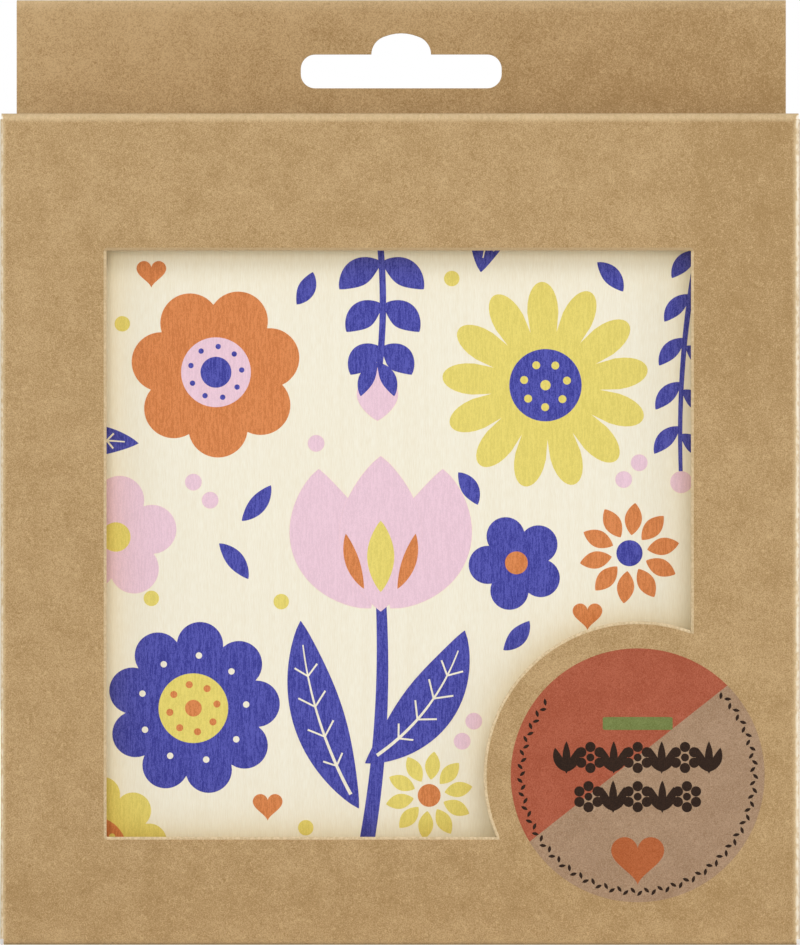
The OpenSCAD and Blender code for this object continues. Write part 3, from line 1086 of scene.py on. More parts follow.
@dataclass
class PrintSheet:
    """Inks laid on an upright face, as seen from the front.

    Each motif is a closed film a few hundredths of a millimetre thick. Its level says how
    many films it lies over, so that it shows on top of them. A leaf's rib tapers, and its
    other veins are even; both are given as half widths. Lengths are in millimetres.
    """

    middle: Point
    face_y: float
    film: float = 0.02
    step: float = 0.008
    rib_w: Point = (0.26, 0.1)
    vein_w: float = 0.14
    motifs: dict[PrintInk, list[Shell]] = field(default_factory=dict)

    def solid(self, ink: PrintInk, rows: Array, heights: Array, ends: Array, level: float) -> None:
        """Keeps one film.

        Args:
            ink: The film's colour.
            rows: Flat points of shape (rows, columns, 2), from the sheet's middle.
            heights: For each row and column, 0 on the face and 1 on the film's top.
            ends: The flat point and the height that close the first row, and the last.
            level: How many films it lies over.
        """
        flat = np.vstack([rows.reshape(-1, 2), ends[:, :2]])
        height = np.concatenate([heights.ravel(), ends[:, 2]]) * (self.film + self.step * level)
        x0, z0 = self.middle
        placed = np.stack([x0 + flat[:, 0], self.face_y - height, z0 + flat[:, 1]], -1) * MM
        shell = Shell.from_rows(placed[:-2].reshape(*heights.shape, 3), placed[-2], placed[-1])
        self.motifs.setdefault(ink, []).append(shell)

    def patch(self, ink: PrintInk, outline: Array, at: Point = (0, 0), level: float = 0) -> None:
        """Lays a motif whose whole outline can be seen from its middle.

        Formula: the outline on the face, then the same on the film's top, closed by a fan to
        the motif's middle at both heights.

        Args:
            ink: Its colour.
            outline: Points of shape (count, 2) around the motif's middle.
            at: Where the motif's middle lies.
            level: How many films it lies over.
        """
        flat = outline + np.array(at)
        heights = np.stack([np.zeros(len(flat)), np.ones(len(flat))])
        self.solid(ink, np.stack([flat, flat]), heights, np.array([(*at, 0.0), (*at, 1.0)]), level)

    def stroke(self, ink: PrintInk, path: Array, half_width: Array | float, level: float = 0) -> None:
        """Lays a band along a path.

        Formula: each row holds the path's left and right edge on the face and on the film's
        top, and the ends close to the path's own end points.

        Args:
            ink: Its colour.
            path: Points of shape (count, 2).
            half_width: Half of the band's width, along the path or for all of it.
            level: How many films it lies over.
        """
        side = headings(path)[1] * np.broadcast_to(half_width, len(path))[:, None]
        left, right = path + side, path - side
        rows = np.stack([left, left, right, right], 1)
        heights = np.broadcast_to(np.array([0.0, 1.0, 1.0, 0.0]), rows.shape[:2])
        self.solid(ink, rows, heights, np.array([(*path[0], 0.5), (*path[-1], 0.5)]), level)

    def leaf(
        self,
        ink: PrintInk,
        base: Point,
        tip: Point,
        half_width: float,
        bend: float = 0.0,
        level: float = 0,
        vein: PrintInk | None = None,
    ) -> None:
        """Lays a leaf, and its midrib and side veins where it has them.

        Formula: the half width follows sin(pi t) ** 0.8 along a bow from base to tip. Side
        veins leave the midrib at even steps and run half of the way to the edge.

        Args:
            ink: The leaf's colour.
            base: Where it starts.
            tip: Where it ends.
            half_width: Half of its greatest width.
            bend: How far it bows to the left.
            level: How many films it lies over.
            vein: The veins' colour, or None for a plain leaf.
        """
        path = bow(base, tip, bend)
        t = np.linspace(0, 1, len(path))
        wide = half_width * np.maximum(np.sin(math.pi * t), 0.004) ** 0.8
        self.stroke(ink, path, wide, level)
        if vein is None:
            return
        rib = path[2:-3]
        self.stroke(vein, rib, np.linspace(*self.rib_w, len(rib)), level + 1)
        along, left = headings(path)
        for k in range(6, len(path) - 6, 4):
            for sign in (-1, 1):
                end = path[k] + (left[k] * sign * 0.55 + along[k] * 0.5) * wide[k]
                self.stroke(vein, bow(path[k], end, 0.0, 5), self.vein_w, level + 1.5 + 0.25 * sign)

    def flower(self, at: Point, *layers: tuple[float, PrintInk, Array | Dots]) -> None:
        """Lays the layers of a flower around its middle.

        Args:
            at: Its middle.
            layers: Each layer's level, its colour, and its outline or ring of dots.
        """
        for level, ink, shape in layers:
            if isinstance(shape, Dots):
                ring = polar(shape.ring_r, math.radians(shape.turn) + angles(shape.count))
                for place in np.array(at) + ring:
                    self.patch(ink, circle(shape.dot_r, 20), place, level)
            else:
                self.patch(ink, shape, at, level)

    def pieces(self, prefix: str, body: str, slot: str) -> None:
        """Builds one piece for each colour, with this prefix, on this body; slot is not used."""
        for ink, shells in self.motifs.items():
            Piece(f"{prefix}_{ink.name}", body, ink.material(), slot, shells).build()


BLUE = PrintInk("blue", (64, 66, 160), lift=18)
YELLOW = PrintInk("yellow", (228, 211, 108), lift=6)
PINK = PrintInk("pink", (235, 201, 216), lift=5)
ORANGE = PrintInk("orange", (212, 128, 69), lift=10)
CREAM = PrintInk("cream", (241, 234, 214), lift=5)


@dataclass
class FlowerPrint(PrintSheet):
    """The flowers printed on the front plate. Places are from its middle, in millimetres."""

    leaves: Sequence[tuple[Point, Point, float, float]] = (
        ((20, 58), (12.5, 42), 3.4, -3.0),
        ((-58, 15), (-40.5, 15.5), 2.6, 1.4),
        ((44, -20), (53.5, -33), 3.2, 1.6),
        ((18, -45), (33, -54), 3.0, 1.8),
    )
    seeds: Sequence[tuple[Point, Point]] = (
        ((-20, 9), (-24.5, 3.5)),
        ((-28, 0), (-23.5, -5.5)),
        ((9, 11), (12, 6)),
        ((30.5, 43.5), (34.5, 39)),
        ((-13.5, 42), (-16, 37)),
        ((20, -12), (16, -16.5)),
    )
    hearts: Sequence[Point] = ((-20.5, -40.5), (29, -11), (-38.5, 42), (-30, 53))
    pink_berries: Sequence[Point] = (
        (-32, 9.5), (-29.4, 6.7), (11.4, -27.5), (9.6, -30.6), (-13, 15.5), (37, 12.5), (34.6, 9.9),
    )
    yellow_berries: Sequence[Point] = (
        (-18.4, -9), (8, 41), (-43, 34), (-14.6, -44), (-38.5, -8.5), (-19, 50), (50, -9), (18, -24.5),
    )

    def lay(self) -> None:
        """Lays all the flowers and builds their pieces."""
        daisy = (0, YELLOW, long_petals(13, 16, 8.4, 9)), (1, BLUE, circle(5.6))
        seeded = (2, YELLOW, Dots(3.4, 7, 0.62, 12)), (2, YELLOW, circle(0.8, 24))
        self.flower((22.5, 24.5), *daisy, *seeded)
        ringed = (0, ORANGE, round_petals(7, 13.2, 4.6, 15)), (1, PINK, circle(5.4))
        seeded = (2, BLUE, circle(2.4, 32)), (2, BLUE, Dots(4.0, 9, 0.42, 5))
        self.flower((-28.5, 26.5), *ringed, *seeded)
        self.hanging_sprig((-5, 58), (-3.5, 25))
        self.tulip(-3, 0)
        aster = (0, BLUE, round_petals(9, 13.4, 3.6, 4)), (1, YELLOW, circle(5.4))
        seeded = (2, ORANGE, Dots(3.7, 8, 0.55, 10)), (2, ORANGE, circle(1.3, 28))
        self.flower((-32, -25.5), *aster, *seeded, (1, CREAM, Dots(8.2, 9, 0.5, 4)))
        self.blossom(PINK, YELLOW, (-44, 1), 9.5, 12)
        self.blossom(BLUE, ORANGE, (18, -3), 7.4, 40)
        self.sunburst(ORANGE, BLUE, (35.5, -1.5), 7.8)
        self.sunburst(YELLOW, ORANGE, (4.5, -39), 6.8)
        self.blossom(PINK, BLUE, (33, -34), 10.5, 20)
        self.side_sprig((47.5, 52), (43.5, 9.5))
        corner = (0, YELLOW, round_petals(10, 11.5, 2.8, 9)), (1, ORANGE, circle(5.2))
        self.flower((-47.5, -47.5), *corner, (2, YELLOW, Dots(3.6, 10, 0.5)))
        for base, tip, half_width, bend in self.leaves:
            self.leaf(BLUE, base, tip, half_width, bend, 0, CREAM)
        for base, tip in self.seeds:
            self.leaf(BLUE, base, tip, 1.35, 0.6)
        scattered = (
            (ORANGE, heart(4.6), self.hearts),
            (PINK, circle(1.3, 24), self.pink_berries),
            (YELLOW, circle(1.2, 24), self.yellow_berries),
        )
        for ink, outline, places in scattered:
            for at in places:
                self.patch(ink, outline, at)
        self.pieces("plate_print", "press_frame", "printed_plywood")

    def hanging_sprig(self, start: Point, end: Point) -> None:
        """Lays a stem with paired leaves that hangs from the upper edge.

        Args:
            start: The stem's upper end.
            end: The bud at its lower end.
        """
        stem = bow(start, end, 3.0)
        self.stroke(BLUE, stem, 0.5)
        for k in range(6, 24, 5):
            x, z = stem[k]
            reach = 8.5 - 0.18 * k
            self.leaf(BLUE, (x, z), (x - reach, z - 4.2), 2.1, -1.2, 1)
            self.leaf(BLUE, (x, z), (x + reach, z - 4.2), 2.1, 1.2, 2)
        x, z = end
        self.leaf(PINK, (x, z + 2.2), (x, z - 6), 3.2, 0, 3)
        self.leaf(BLUE, (x, z + 3), (x - 2.6, z - 2.2), 1.2, -0.8, 4)
        self.leaf(BLUE, (x, z + 3), (x + 2.6, z - 2.2), 1.2, 0.8, 5)

    def tulip(self, x: float, z: float) -> None:
        """Lays the pink tulip, its stem and its two long leaves.

        Args:
            x: How far the middle of its cup is to the right.
            z: The height of that middle.
        """
        self.stroke(BLUE, bow((x, z - 8), (x - 5, z - 59.5), 4.0), np.linspace(0.8, 1.3, 26))
        self.leaf(BLUE, (x - 3.4, z - 41), (x - 12.4, z - 12), 4.0, 3.6, 1, CREAM)
        self.leaf(BLUE, (x - 2.4, z - 34), (x + 13, z - 13.5), 4.2, -5.0, 4, CREAM)
        self.leaf(PINK, (x - 1.5, z - 10), (x - 9.6, z + 11.5), 6.2, 4.4, 1)
        self.leaf(PINK, (x + 1.5, z - 10), (x + 9.6, z + 11.5), 6.2, -4.4, 2)
        self.leaf(PINK, (x, z - 10.5), (x, z + 13.5), 6.4, 0, 3)
        self.leaf(YELLOW, (x, z - 7.5), (x, z + 3.5), 2.1, 0, 4)
        self.leaf(ORANGE, (x - 2.6, z - 7), (x - 5.4, z + 1.5), 1.1, 0.8, 4)
        self.leaf(ORANGE, (x + 2.6, z - 7), (x + 5.4, z + 1.5), 1.1, -0.8, 4)

    def blossom(self, petal: PrintInk, core: PrintInk, at: Point, reach: float, turn: float) -> None:
        """Lays a small five-petalled blossom of this radius, turned by so many degrees."""
        petals = round_petals(5, reach, reach * 0.4, turn)
        self.flower(at, (0, petal, petals), (1, core, circle(reach * 0.24, 30)))

    def sunburst(self, ray: PrintInk, core: PrintInk, at: Point, reach: float) -> None:
        """Lays a small flower of ten separate pointed petals.

        Args:
            ray: The petals' colour.
            core: The middle's colour.
            at: Its middle.
            reach: Its radius.
        """
        for way in polar(1.0, angles(10) + 0.2):
            self.leaf(ray, at + way * (reach * 0.36), at + way * reach, reach * 0.17)
        self.patch(core, circle(reach * 0.26, 30), at)

    def side_sprig(self, start: Point, end: Point) -> None:
        """Lays a slender sprig that hangs down inside the right edge.

        Args:
            start: Where its stem starts.
            end: Where its stem ends.
        """
        stem = bow(start, end, -3.0)
        self.stroke(BLUE, stem, np.linspace(0.5, 0.3, len(stem)))
        for x, z in stem[4:-2:4]:
            self.leaf(BLUE, (x, z), (x - 4.0, z - 4.2), 1.25, -0.7, 1)
            self.leaf(BLUE, (x, z - 1.2), (x + 3.8, z - 5.0), 1.25, 0.7, 2)
        self.patch(PINK, circle(1.7, 28), end, 3)


def paint(node: bpy.types.Object, material: Material) -> None:
    """Gives a CAD node its finish.

    Args:
        node: The node's object.
        material: The finish.
    """
    node.data.materials.clear()
    node.data.materials.append(material)
    log.info("%s is finished in %s", node.name, material.name)


@dataclass
class Plates:
    """The press's two plates. Lengths are in metres."""

    front: str = "front_plate"
    rear: str = "rear_plate"
    bolt_edge: float = 10 * MM
    washer_r: float = 5 * MM

    def dress(self, nodes: Nodes) -> None:
        """Gives both plates their plywood and prints the front one.

        Args:
            nodes: The CAD nodes.
        """
        low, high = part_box(self.front)
        paint(nodes[self.front], PrintedPly(PlyBands(low.y, high.y - low.y)).material())
        middle = ((low.x + high.x) / 2 / MM, (low.z + high.z) / 2 / MM)
        sheet = FlowerPrint(middle, low.y / MM)
        low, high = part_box(self.rear)
        bolts = (low.z + self.bolt_edge, high.z - self.bolt_edge)
        bands = PlyBands(low.y, high.y - low.y)
        plywood = BarePly(bands, high.x - self.bolt_edge, bolts, self.washer_r)
        paint(nodes[self.rear], plywood.material())
        sheet.lay()


@dataclass
class TabLabel(PrintSheet):
    """The round label printed on the carton's tab: two tones, a bar, a heart and plants."""

    film: float = 0.01
    step: float = 0.006
    disc_r: float = 19.6
    chord: tuple[Point, Point] = ((13.85, 13.87), (-16.7, -10.26))
    bar_half: Point = (5.4, 1.0)
    bar_rise: float = 8.0
    heart_w: float = 8.2
    heart_drop: float = -12.6
    wreath_r: float = 18.0
    wreath_leaves: int = 78
    wreath_start: float = 44
    wreath_sweep: float = 262
    wreath_split: float = 0.62
    bar_power: float = 0.12
    rows: Sequence[tuple[float, Sequence[float]]] = (
        (2.75, (-11, -7.3, -3.7, 0, 3.7, 7.3, 11)),
        (-3.3, (-7.6, -3.8, 0, 3.8, 7.6)),
    )
    red: PrintInk = PrintInk("brick_red", (170, 88, 62), Ground.BOARD, 12)
    rose: PrintInk = PrintInk("rose_brown", (167, 137, 109), Ground.BOARD, 15)
    dark: PrintInk = PrintInk("dark_brown", (38, 20, 8), Ground.BOARD, 10)
    green: PrintInk = PrintInk("leaf_green", (116, 128, 70), Ground.BOARD, 10)
    orange: PrintInk = PrintInk("label_orange", (178, 96, 52), Ground.BOARD, 11)

    def lay(self) -> None:
        """Lays the label and builds its pieces."""
        self.halves()
        self.patch(self.green, self.bar(), (0, self.bar_rise), 1)
        self.patch(self.orange, heart(self.heart_w), (0, self.heart_drop), 1)
        self.rows_of_plants()
        self.wreath()
        self.pieces("tab_label", "carton", "kraft_board")

    def halves(self) -> None:
        """Lays the disc in two colours that meet along a chord.

        Formula: each half is the arc from one end of the chord to the other.
        """
        first, second = (math.atan2(z, x) for x, z in self.chord)
        for ink, start, end in ((self.red, first, second + 2 * math.pi), (self.rose, second, first)):
            edge = polar(self.disc_r, np.linspace(start, end, 80))
            centre = edge.mean(axis=0)
            self.patch(ink, edge - centre, centre)

    def bar(self) -> Array:
        """Gives the plain bar's outline, with softly rounded corners, as a superellipse."""
        unit = circle(1.0, 64)
        return np.sign(unit) * np.abs(unit) ** self.bar_power * np.array(self.bar_half)

    def rows_of_plants(self) -> None:
        """Lays two rows in which blooms of six petals and sprouts with a bud take turns."""
        petals, core = Dots(1.62, 6, 0.8, 30), circle(0.62, 20)
        for z, places in self.rows:
            for number, x in enumerate(places, len(places) // 2):
                if number % 2 == 0:
                    self.flower((x, z), (1, self.dark, petals), (1, self.dark, core))
                    continue
                self.leaf(self.dark, (x, z - 2.5), (x, z + 2.5), 0.62, 0, 1)
                for sign in (-1, 1):
                    tip = (x + sign * 1.75, z + 1.5)
                    self.leaf(self.dark, (x, z - 2.2), tip, 0.72, -sign * 0.7, 2 + sign * 0.5)

    def wreath(self) -> None:
        """Lays a fine wreath of small leaves inside the disc's edge, open at the top."""
        for k in range(self.wreath_leaves):
            share = k / (self.wreath_leaves - 1)
            angle = math.radians(self.wreath_start - self.wreath_sweep * share)
            across = self.wreath_split if k % 2 else -self.wreath_split
            radius = self.wreath_r + across * np.array([-0.3, 1.0])
            base, tip = polar(radius, angle + np.array([0.016, -0.026]))
            self.leaf(self.dark, base, tip, 0.25, 0, 1)


@dataclass
class Carton:
    """The folded carton: its board, the die-cut window's burr and the printed tab.

    Lengths are in millimetres, from the middle of the carton's foot.
    """

    window_left: float = -45.6
    window_right: float = 45.2
    window_foot: float = 16.4
    window_top: float = 107.5
    corner_r: float = 0.45
    tab_r: float = 23.5
    tab_inset: float = 8.5
    tab_rise: float = 9.8
    burr_w: float = 0.44
    burr_lip: float = 0.28
    burr_h: float = 0.05
    burr_root: float = 0.1
    burr_waves: tuple[Point, Point] = ((0.12, 0.7), (0.08, 1.9))
    sides: dict[Side, Sequence[str]] = field(default_factory=lambda: {
        Side.X: ("carton_left_side", "carton_right_side"),
        Side.Y: ("carton_front", "carton_back", "header_front_layer", "glue_flap", "tuck_flap"),
        Side.Z: ("bottom_outer_flap", "bottom_inner_flap", "bottom_dust_flap_left",
                 "bottom_dust_flap_right", "lid", "dust_flap_left", "dust_flap_right"),
    })

    @property
    def tab_middle(self) -> Point:
        """The tab's middle."""
        return self.window_right - self.tab_inset, self.window_foot + self.tab_rise

    def dress(self, nodes: Nodes) -> None:
        """Gives every panel its board, and adds the burr and the label.

        Args:
            nodes: The CAD nodes.
        """
        low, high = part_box("carton_front")
        edges = CartonEdges(high.x, -low.y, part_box("lid")[1].z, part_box("carton_back")[1].z)
        for side, names in self.sides.items():
            board = KraftBoard(edges, side).material()
            for name in names:
                paint(nodes[name], board)
        self.burr(low.y / MM)
        TabLabel(self.tab_middle, low.y / MM).lay()

    def window_outline(self) -> Array:
        """Gives the window's outline, from the tab's foot clockwise back to it.

        Formula: straight stretches between quarter circles of the corner radius, then the
        tab's circle from where it crosses the right edge to where it crosses the lower one.

        Returns:
            Points of shape (count, 2).
        """
        r, (tab_x, tab_z) = self.corner_r, self.tab_middle
        foot_x = tab_x - math.sqrt(self.tab_r**2 - self.tab_rise**2)
        side_z = tab_z + math.sqrt(self.tab_r**2 - self.tab_inset**2)
        left, right = self.window_left + r, self.window_right - r
        low, high = self.window_foot + r, self.window_top - r
        corners = [((left, low), 270, 180), ((left, high), 180, 90), ((right, high), 90, 0)]
        bends = [arc(centre, r, start, end, 9) for centre, start, end in corners]
        start = math.degrees(math.atan2(side_z - tab_z, self.window_right - tab_x))
        end = math.degrees(math.atan2(self.window_foot - tab_z, foot_x - tab_x)) % 360
        bends.append(arc(self.tab_middle, self.tab_r, start, end, 120))
        starts = [(foot_x, self.window_foot), *(bend[-1] for bend in bends[:-1])]
        ends = [(left, self.window_foot), bends[1][0], bends[2][0], (self.window_right, side_z)]
        stretches = map(straight, starts, ends)
        outline = np.vstack([run for pair in zip(stretches, bends) for run in pair])
        apart = np.linalg.norm(np.roll(outline, -1, axis=0) - outline, axis=1) > 1e-6
        return outline[apart]

    def burr(self, face_y: float) -> None:
        """Adds the fine ridge that the die leaves around the window.

        Formula: a half ellipse, burr_w wide and burr_h high, carried along the outline and
        standing burr_lip over its edge; its height varies with two sines of the way round.
        Its root lies burr_root deep in the board.

        Args:
            face_y: The front panel's face.
        """
        path = self.window_outline()
        ahead = np.roll(path, -1, axis=0)
        along = ahead - np.roll(path, 1, axis=0)
        along /= np.linalg.norm(along, axis=1, keepdims=True)
        into_board = np.stack([-along[:, 1], along[:, 0]], -1)
        way = np.cumsum(np.linalg.norm(ahead - path, axis=1))
        (size, rate), (less, faster) = self.burr_waves
        ragged = 1 + size * np.sin(way * rate) + less * np.sin(way * faster + 1)
        turn = np.linspace(0, math.pi, 7)
        out = np.append(self.burr_w * (1 - np.cos(turn)) / 2, [self.burr_w, 0.0]) - self.burr_lip
        up = np.append(self.burr_h * np.sin(turn), [-self.burr_root] * 2)
        flat = path[:, None] + into_board[:, None] * out[None, :, None]
        rise = up[None] * np.where(up > 0, ragged[:, None], 1.0)
        shell = Shell.from_rows(np.stack([flat[..., 0], face_y - rise, flat[..., 1]], -1) * MM)
        burr = BurrFibresAndPaintedLight().material()
        Piece("window_burr", "carton", burr, "kraft_board", [shell], smooth=True).build()


@dataclass
class PaperStack:
    """The corrugated cards and the blotting papers between the plates."""

    cards: int = 4
    papers: int = 6

    def dress(self, nodes: Nodes) -> None:
        """Gives the cards and the papers their finishes.

        Args:
            nodes: The CAD nodes.
        """
        kinds = (("corrugated_card", self.cards, CorrugatedPaper()),
                 ("blotting_paper", self.papers, BlottingPaper()))
        for name, count, look in kinds:
            material = look.material()
            for index in range(1, count + 1):
                paint(nodes[f"{name}_{index}"], material)


@dataclass
class Hardware:
    """The four carriage bolts, washers and wing nuts. Lengths are in millimetres.

    Each part is worked out around its own axis, with w from the bolt's head to its tip.
    """

    bolt_r: float = 2.45
    thread_depth: float = 0.42
    pitch: float = 0.8
    head_r: float = 5.5
    head_h: float = 2.8
    head_rim: float = 0.5
    dome_inset: float = 0.06
    head_bevel: float = 0.1
    neck_half: float = 2.8
    neck_l: float = 3.2
    neck_power: int = 12
    neck_sunk: float = 0.2
    neck_taper: Sequence[Point] = ((0.5, 1.0), (0.12, 0.93), (0.0, 0.86))
    shank_sunk: float = 0.3
    thread_slope: float = 1.4
    thread_flat: float = 0.15
    tip_bevel: float = 0.6
    washer_bore_r: float = 2.65
    washer_edge: float = 0.18
    hub_r: float = 4.7
    hub_top_r: float = 3.8
    hub_h: float = 6.0
    hub_edge: float = 0.3
    nut_bore_r: float = 2.52
    ear_r: float = 3.0
    ear: Point = (7.0, 7.0)
    ear_hollow: float = 0.3
    wing_middle: Point = (5.7, 5.3)
    wing_t: float = 2.0
    wing_root: Point = (0.5, 0.9)
    wing_shoulder: float = 0.1
    wing_inside: Sequence[Point] = ((3.1, 5.4), (3.1, 1.2))
    wing_rings: Sequence[float] = (0.88, 0.94, 0.98, 1.0)
    hollow_share: float = 0.8
    wing_angles: Sequence[float] = (24, -38, 71, 8)

    def build(self) -> None:
        """Builds all twelve parts in the places of their CAD nodes."""
        zinc = ZincSteel().material()
        for index, angle in enumerate(self.wing_angles, 1):
            washer = np.array(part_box(f"washer_{index}"))
            bolt_low, bolt_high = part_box(f"carriage_bolt_{index}")
            axis = washer.mean(axis=0) / MM
            seat_y, nut_y = washer[:, 1] / MM
            head_y = bolt_low.y / MM + self.head_h
            bolt = self.bolt(bolt_high.y / MM - head_y)
            ring = self.washer((washer[1, 0] - washer[0, 0]) / 2 / MM, nut_y - seat_y)
            parts = [
                ("threaded_bolt", "press_frame", head_y, 0.0, bolt, "carriage_bolt"),
                ("rounded_washer", "pressing_plate", seat_y, 0.0, ring, "washer"),
                ("winged_nut", f"wing_nut_{index}", nut_y, angle, self.wing_nut(), "wing_nut"),
            ]
            for name, body, y, turn, shells, node in parts:
                placed = [self.place(shell, axis, y, math.radians(turn)) for shell in shells]
                piece = Piece(f"{name}_{index}", body, zinc, "zinc_plated_steel", placed, smooth=True)
                piece.build(f"{node}_{index}")

    @staticmethod
    def place(shell: Shell, axis: Array, y: float, turn: float) -> Shell:
        """Turns a shell about its axis and lays that axis along +Y at a bolt.

        Formula: after the turn, local (u, v, w) goes to (x + u, y + w, z - v).

        Args:
            shell: The shell around its own axis, in millimetres.
            axis: A point of the bolt's axis.
            y: Where the shell's foot is.
            turn: The turn about the axis, in radians.

        Returns:
            The placed shell, in metres.
        """
        u, v, w = shell.points.T
        cos, sin = math.cos(turn), math.sin(turn)
        across, down = u * cos - v * sin, u * sin + v * cos
        points = np.stack([axis[0] + across, y + w, axis[2] - down], -1) * MM
        return Shell(points, shell.faces).outward()

    def bolt(self, length: float) -> list[Shell]:
        """Builds a bolt: domed head, square neck and threaded shank.

        Formula: the dome is a circle's arc over the rim.

        Args:
            length: From under the head to the tip.

        Returns:
            The three shells.
        """
        dome_h = self.head_h - self.head_rim
        sphere_r = (self.head_r**2 + dome_h**2) / (2 * dome_h)
        swing = np.linspace(0.02, math.asin(self.head_r / sphere_r), 20)
        dome = sphere_r * np.stack([np.sin(swing), 1 - np.cos(swing)], -1) - [0.0, self.head_h]
        dome[-1] -= [self.dome_inset, 0.0]
        rim_w, bevel = 2 * self.dome_inset - self.head_rim, self.head_bevel
        rim = [[self.head_r, rim_w], [self.head_r, -bevel], [self.head_r - bevel, 0.0]]
        return [turned_profile(np.vstack([dome, rim]), 72), self.neck(), self.shank(length)]

    def neck(self, columns: int = 96) -> Shell:
        """Builds the square neck, tapered at its end like a forged one.

        Formula: a superellipse (|cos a| ** p + |sin a| ** p) ** (-1 / p) of a high power p.
        The taper lists how far each last row is from the end, and its share of the width.

        Args:
            columns: How many angles.

        Returns:
            The shell.
        """
        angle, power = angles(columns), self.neck_power
        radius = (np.abs(np.cos(angle)) ** power + np.abs(np.sin(angle)) ** power) ** (-1 / power)
        before_end, shares = np.array(self.neck_taper).T
        size = self.neck_half * np.concatenate([[1.0, 1.0], shares])[:, None]
        w = np.concatenate([[-self.neck_sunk, 0.0], self.neck_l - before_end])[:, None]
        return turned(radius * size, angle, w)

    def shank(self, length: float, columns: int = 36, steps: int = 6) -> Shell:
        """Builds the threaded shank.

        Formula: the thread is a triangle wave of w / pitch - a / 2 pi with its crests and
        roots cut flat, fading out at the tip.

        Args:
            length: From under the head to the tip.
            columns: How many angles.
            steps: How many rows one turn of the thread has.

        Returns:
            The shell.
        """
        w = np.arange(self.neck_l - self.shank_sunk, length - 0.01, self.pitch / steps)
        w = np.append(w, length)[:, None]
        angle = angles(columns)
        phase = (w / self.pitch - angle / (2 * math.pi)) % 1
        wave = self.thread_slope * (1 - np.abs(2 * phase - 1)) - self.thread_flat
        wave = np.clip(wave, 0, 1)
        taper = np.clip((length - w) / self.tip_bevel, 0, 1)
        crest = self.bolt_r - self.tip_bevel * (1 - taper)
        return turned(crest - self.thread_depth * (1 - wave) * taper, angle, w)

    def washer(self, outer: float, thick: float) -> list[Shell]:
        """Builds a washer with rounded edges.

        Args:
            outer: Its outer radius.
            thick: Its thickness.

        Returns:
            Its one shell.
        """
        inner, edge = self.washer_bore_r, self.washer_edge
        corners = [(outer - edge, edge, -90), (outer - edge, thick - edge, 0),
                   (inner + edge, thick - edge, 90), (inner + edge, edge, 180)]
        runs = [arc((r, w), edge, start, start + 90, 5) for r, w, start in corners]
        return [turned_profile(np.vstack(runs), closed=True)]

    def wing_nut(self) -> list[Shell]:
        """Builds a wing nut: a bored hub with rounded rims, and two pillowed wings.

        Returns:
            The three shells.
        """
        bore, edge, top = self.nut_bore_r, self.hub_edge, self.hub_h
        outside = [arc((self.hub_r - edge, edge), edge, -90, 0, 5),
                   arc((self.hub_top_r - edge, top - edge), edge, 0, 90, 5)]
        inside = np.array([[bore + edge, top], [bore, top - edge], [bore, edge], [bore + edge, 0]])
        wing = self.wing()
        opposite = Shell(wing.points * np.array([-1, -1, 1]), wing.faces)
        return [turned_profile(np.vstack([*outside, inside]), closed=True), wing, opposite]

    def wing_outline(self, count: int = 112) -> Array:
        """Gives a wing's outline: two lines that touch the round ear, and the hub's side.

        Formula: from a point at distance d from the ear's middle the touching point lies at
        an angle acos(ear_r / d) from the way back to that point.

        Args:
            count: How many points, evenly spaced along the outline.

        Returns:
            Points (u, w) of shape (count, 2).
        """
        depth, height = self.wing_root
        root = np.array([self.hub_r - depth, height])
        shoulder = np.array([self.hub_top_r, self.hub_h - self.wing_shoulder])
        touching = []
        for point, sign in ((root, 1), (shoulder, -1)):
            u, w = point - self.ear
            touching.append(math.atan2(w, u) + sign * math.acos(self.ear_r / math.hypot(u, w)))
        swing = np.degrees(np.unwrap(touching))
        swing = swing if swing[1] > swing[0] else swing + [0, 360]
        ring = arc(self.ear, self.ear_r, *swing, 40)
        closed = np.vstack([root, ring, shoulder, self.wing_inside, root])
        way = np.concatenate([[0], np.cumsum(np.linalg.norm(np.diff(closed, axis=0), axis=1))])
        even = np.linspace(0, way[-1], count, endpoint=False)
        return np.stack([np.interp(even, way, closed[:, i]) for i in (0, 1)], -1)

    def wing(self) -> Shell:
        """Builds one wing.

        Formula: a ring at share s of the way from the wing's middle to its outline is half as
        thick as wing_t times (1 - s ** 7) ** 0.5, on both faces, with a shallow hollow around
        the ear's middle.

        Returns:
            The shell.
        """
        middle = np.array(self.wing_middle)
        share = np.concatenate([np.linspace(0.12, 0.8, 7), self.wing_rings])
        flat = middle + (self.wing_outline() - middle) * share[:, None, None]
        from_ear = np.linalg.norm(flat - self.ear, axis=-1) / (self.ear_r * self.hollow_share)
        hollow = self.ear_hollow * np.clip(1 - from_ear**2, 0, 1)
        half = self.wing_t / 2 * np.sqrt(1 - share**7)[:, None] - hollow
        front, back = (np.stack([flat[..., 0], v, flat[..., 1]], -1) for v in (half, -half))
        rows = np.vstack([front, back[:-1][::-1]])
        return Shell.from_rows(rows, *(row.mean(axis=0) for row in (rows[0], rows[-1])))


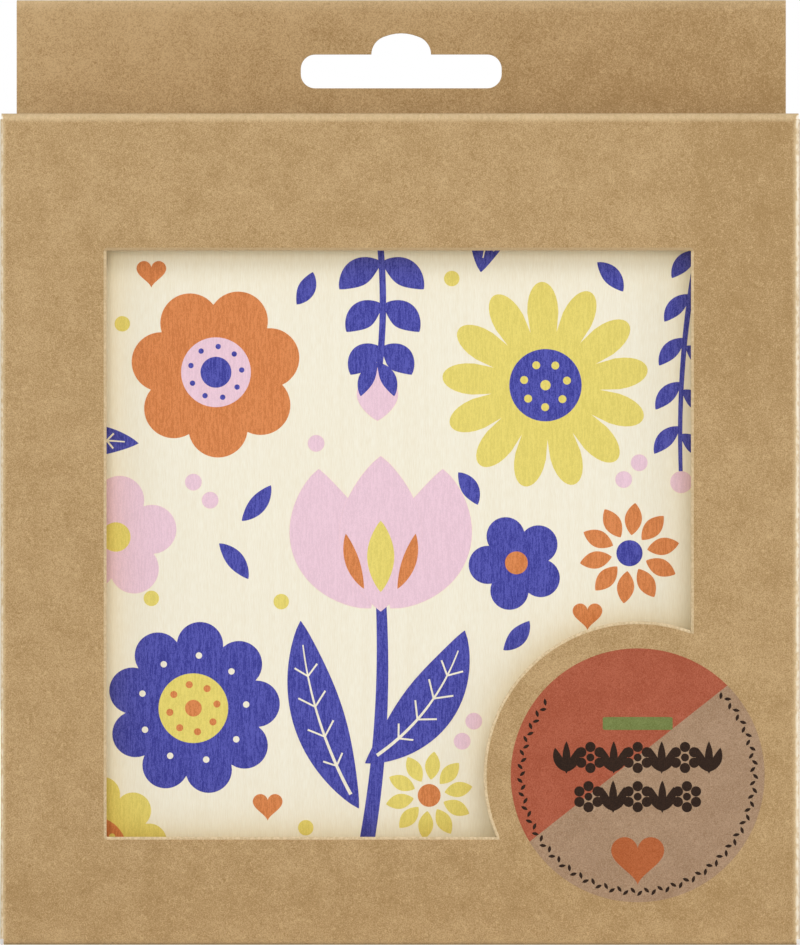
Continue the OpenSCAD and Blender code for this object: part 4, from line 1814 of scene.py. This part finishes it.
@dataclass
class Studio:
    """The camera, the pale floor, the soft lamps and the white surroundings, in metres.

    The lens is the camera's sensor width times its distance from the front panel, over the
    width that it sees there. A lamp has a name, a place, a side's length and its watts.
    """

    camera_place: Size = (0.006, -1.572, 0.079)
    camera_aim: Size = (0, -0.025, 0.07295)
    lens_mm: float = 36 * 1547 / 145.9
    view_end: float = 20
    floor_size: float = 2.6
    floor_shades: tuple[Rgb, Rgb] = ((240, 239, 236), (246, 245, 243))
    floor_patch: float = 0.08
    floor_glow: float = 0.3
    fade_start: float = 0.12
    fade_end: float = 0.6
    ambient: float = 0.33
    lamp_aim: Size = (0, 0, 0.07)
    lamps: Sequence[tuple[str, Size, float, float]] = (
        ("key_lamp", (0.5, -1.2, 1.05), 0.7, 5.2),
        ("front_lamp", (-0.2, -1.8, 0.3), 0.7, 8.2),
        ("left_lamp", (-0.9, -0.3, 0.35), 0.6, 1.7),
        ("right_lamp", (0.9, -0.3, 0.35), 0.6, 2.2),
        ("top_lamp", (0.0, 0.1, 1.3), 0.8, 1.9),
    )

    def build(self) -> None:
        """Builds the studio, with the camera in front of the window."""
        scene = bpy.context.scene
        camera = bpy.data.cameras.new("front_camera")
        camera.lens, camera.clip_end = self.lens_mm, self.view_end
        scene.camera = self.aimed(camera, self.camera_place, self.camera_aim)
        self.floor()
        for name, place, size, watts in self.lamps:
            lamp = bpy.data.lights.new(name, "AREA")
            lamp.size, lamp.energy = size, watts
            self.aimed(lamp, place, self.lamp_aim)
        self.surroundings()
        scene.view_settings.view_transform = "Standard"

    @staticmethod
    def aimed(data: bpy.types.ID, place: Size, aim: Size) -> bpy.types.Object:
        """Hangs a camera or a lamp in its place and turns it towards a point.

        Args:
            data: The camera or the lamp.
            place: Where it hangs.
            aim: The point.

        Returns:
            The object.
        """
        made = add_object(data.name, data)
        made.location = place
        made.rotation_euler = (Vector(aim) - Vector(place)).to_track_quat("-Z", "Y").to_euler()
        return made

    def floor(self) -> None:
        """Lays a pale floor that keeps the carton's shadow and fades into the white background.

        Formula: to the camera and in reflections it gives off a little white of its own near
        the carton, and enough to be white from the fade's end on. It lights nothing.
        """
        half = self.floor_size / 2
        mesh = bpy.data.meshes.new("floor")
        corners = [(-half, -half, 0), (half, -half, 0), (half, half, 0), (-half, half, 0)]
        mesh.from_pydata(corners, [], [(0, 1, 2, 3)])
        graph = finish("pale_floor")
        colour = graph.mix(graph.noise(self.floor_patch, detail=3).band(0.3, 0.7), *self.floor_shades)
        away = graph.node("VectorMath", {0: graph.place()}, "Value", operation="LENGTH")
        glow = graph.seen() * away.band(self.fade_start, self.fade_end, self.floor_glow, 1.0)
        light = {"Emission_Color": WHITE, "Emission_Strength": glow}
        mesh.materials.append(graph.surface(colour, roughness=0.8, sheen=0.2, **light))
        add_object("floor", mesh)

    def surroundings(self) -> None:
        """Makes the surroundings white to the camera and a soft even light to the object."""
        graph = Graph(bpy.data.worlds.new("white_surroundings"))
        bpy.context.scene.world = graph.owner
        lit = graph.node("Background", {"Color": WHITE, "Strength": self.ambient})
        white = graph.node("Background", {"Color": WHITE, "Strength": 1.0})
        graph.end("World", graph.node("MixShader", {0: graph.seen(), 1: lit, 2: white}))


def main() -> None:
    """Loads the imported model, finishes every sub-assembly and sets the studio."""
    logging.basicConfig(level=logging.INFO, format="%(name)s: %(message)s")
    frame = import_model()
    nodes = frame["nodes"]
    for assembly in (Carton(), Plates(), PaperStack()):
        assembly.dress(nodes)
        log.info("%s done", type(assembly).__name__)
    for assembly in (Hardware(), Studio()):
        assembly.build()
        log.info("%s done", type(assembly).__name__)


if __name__ == "__main__":
    main()
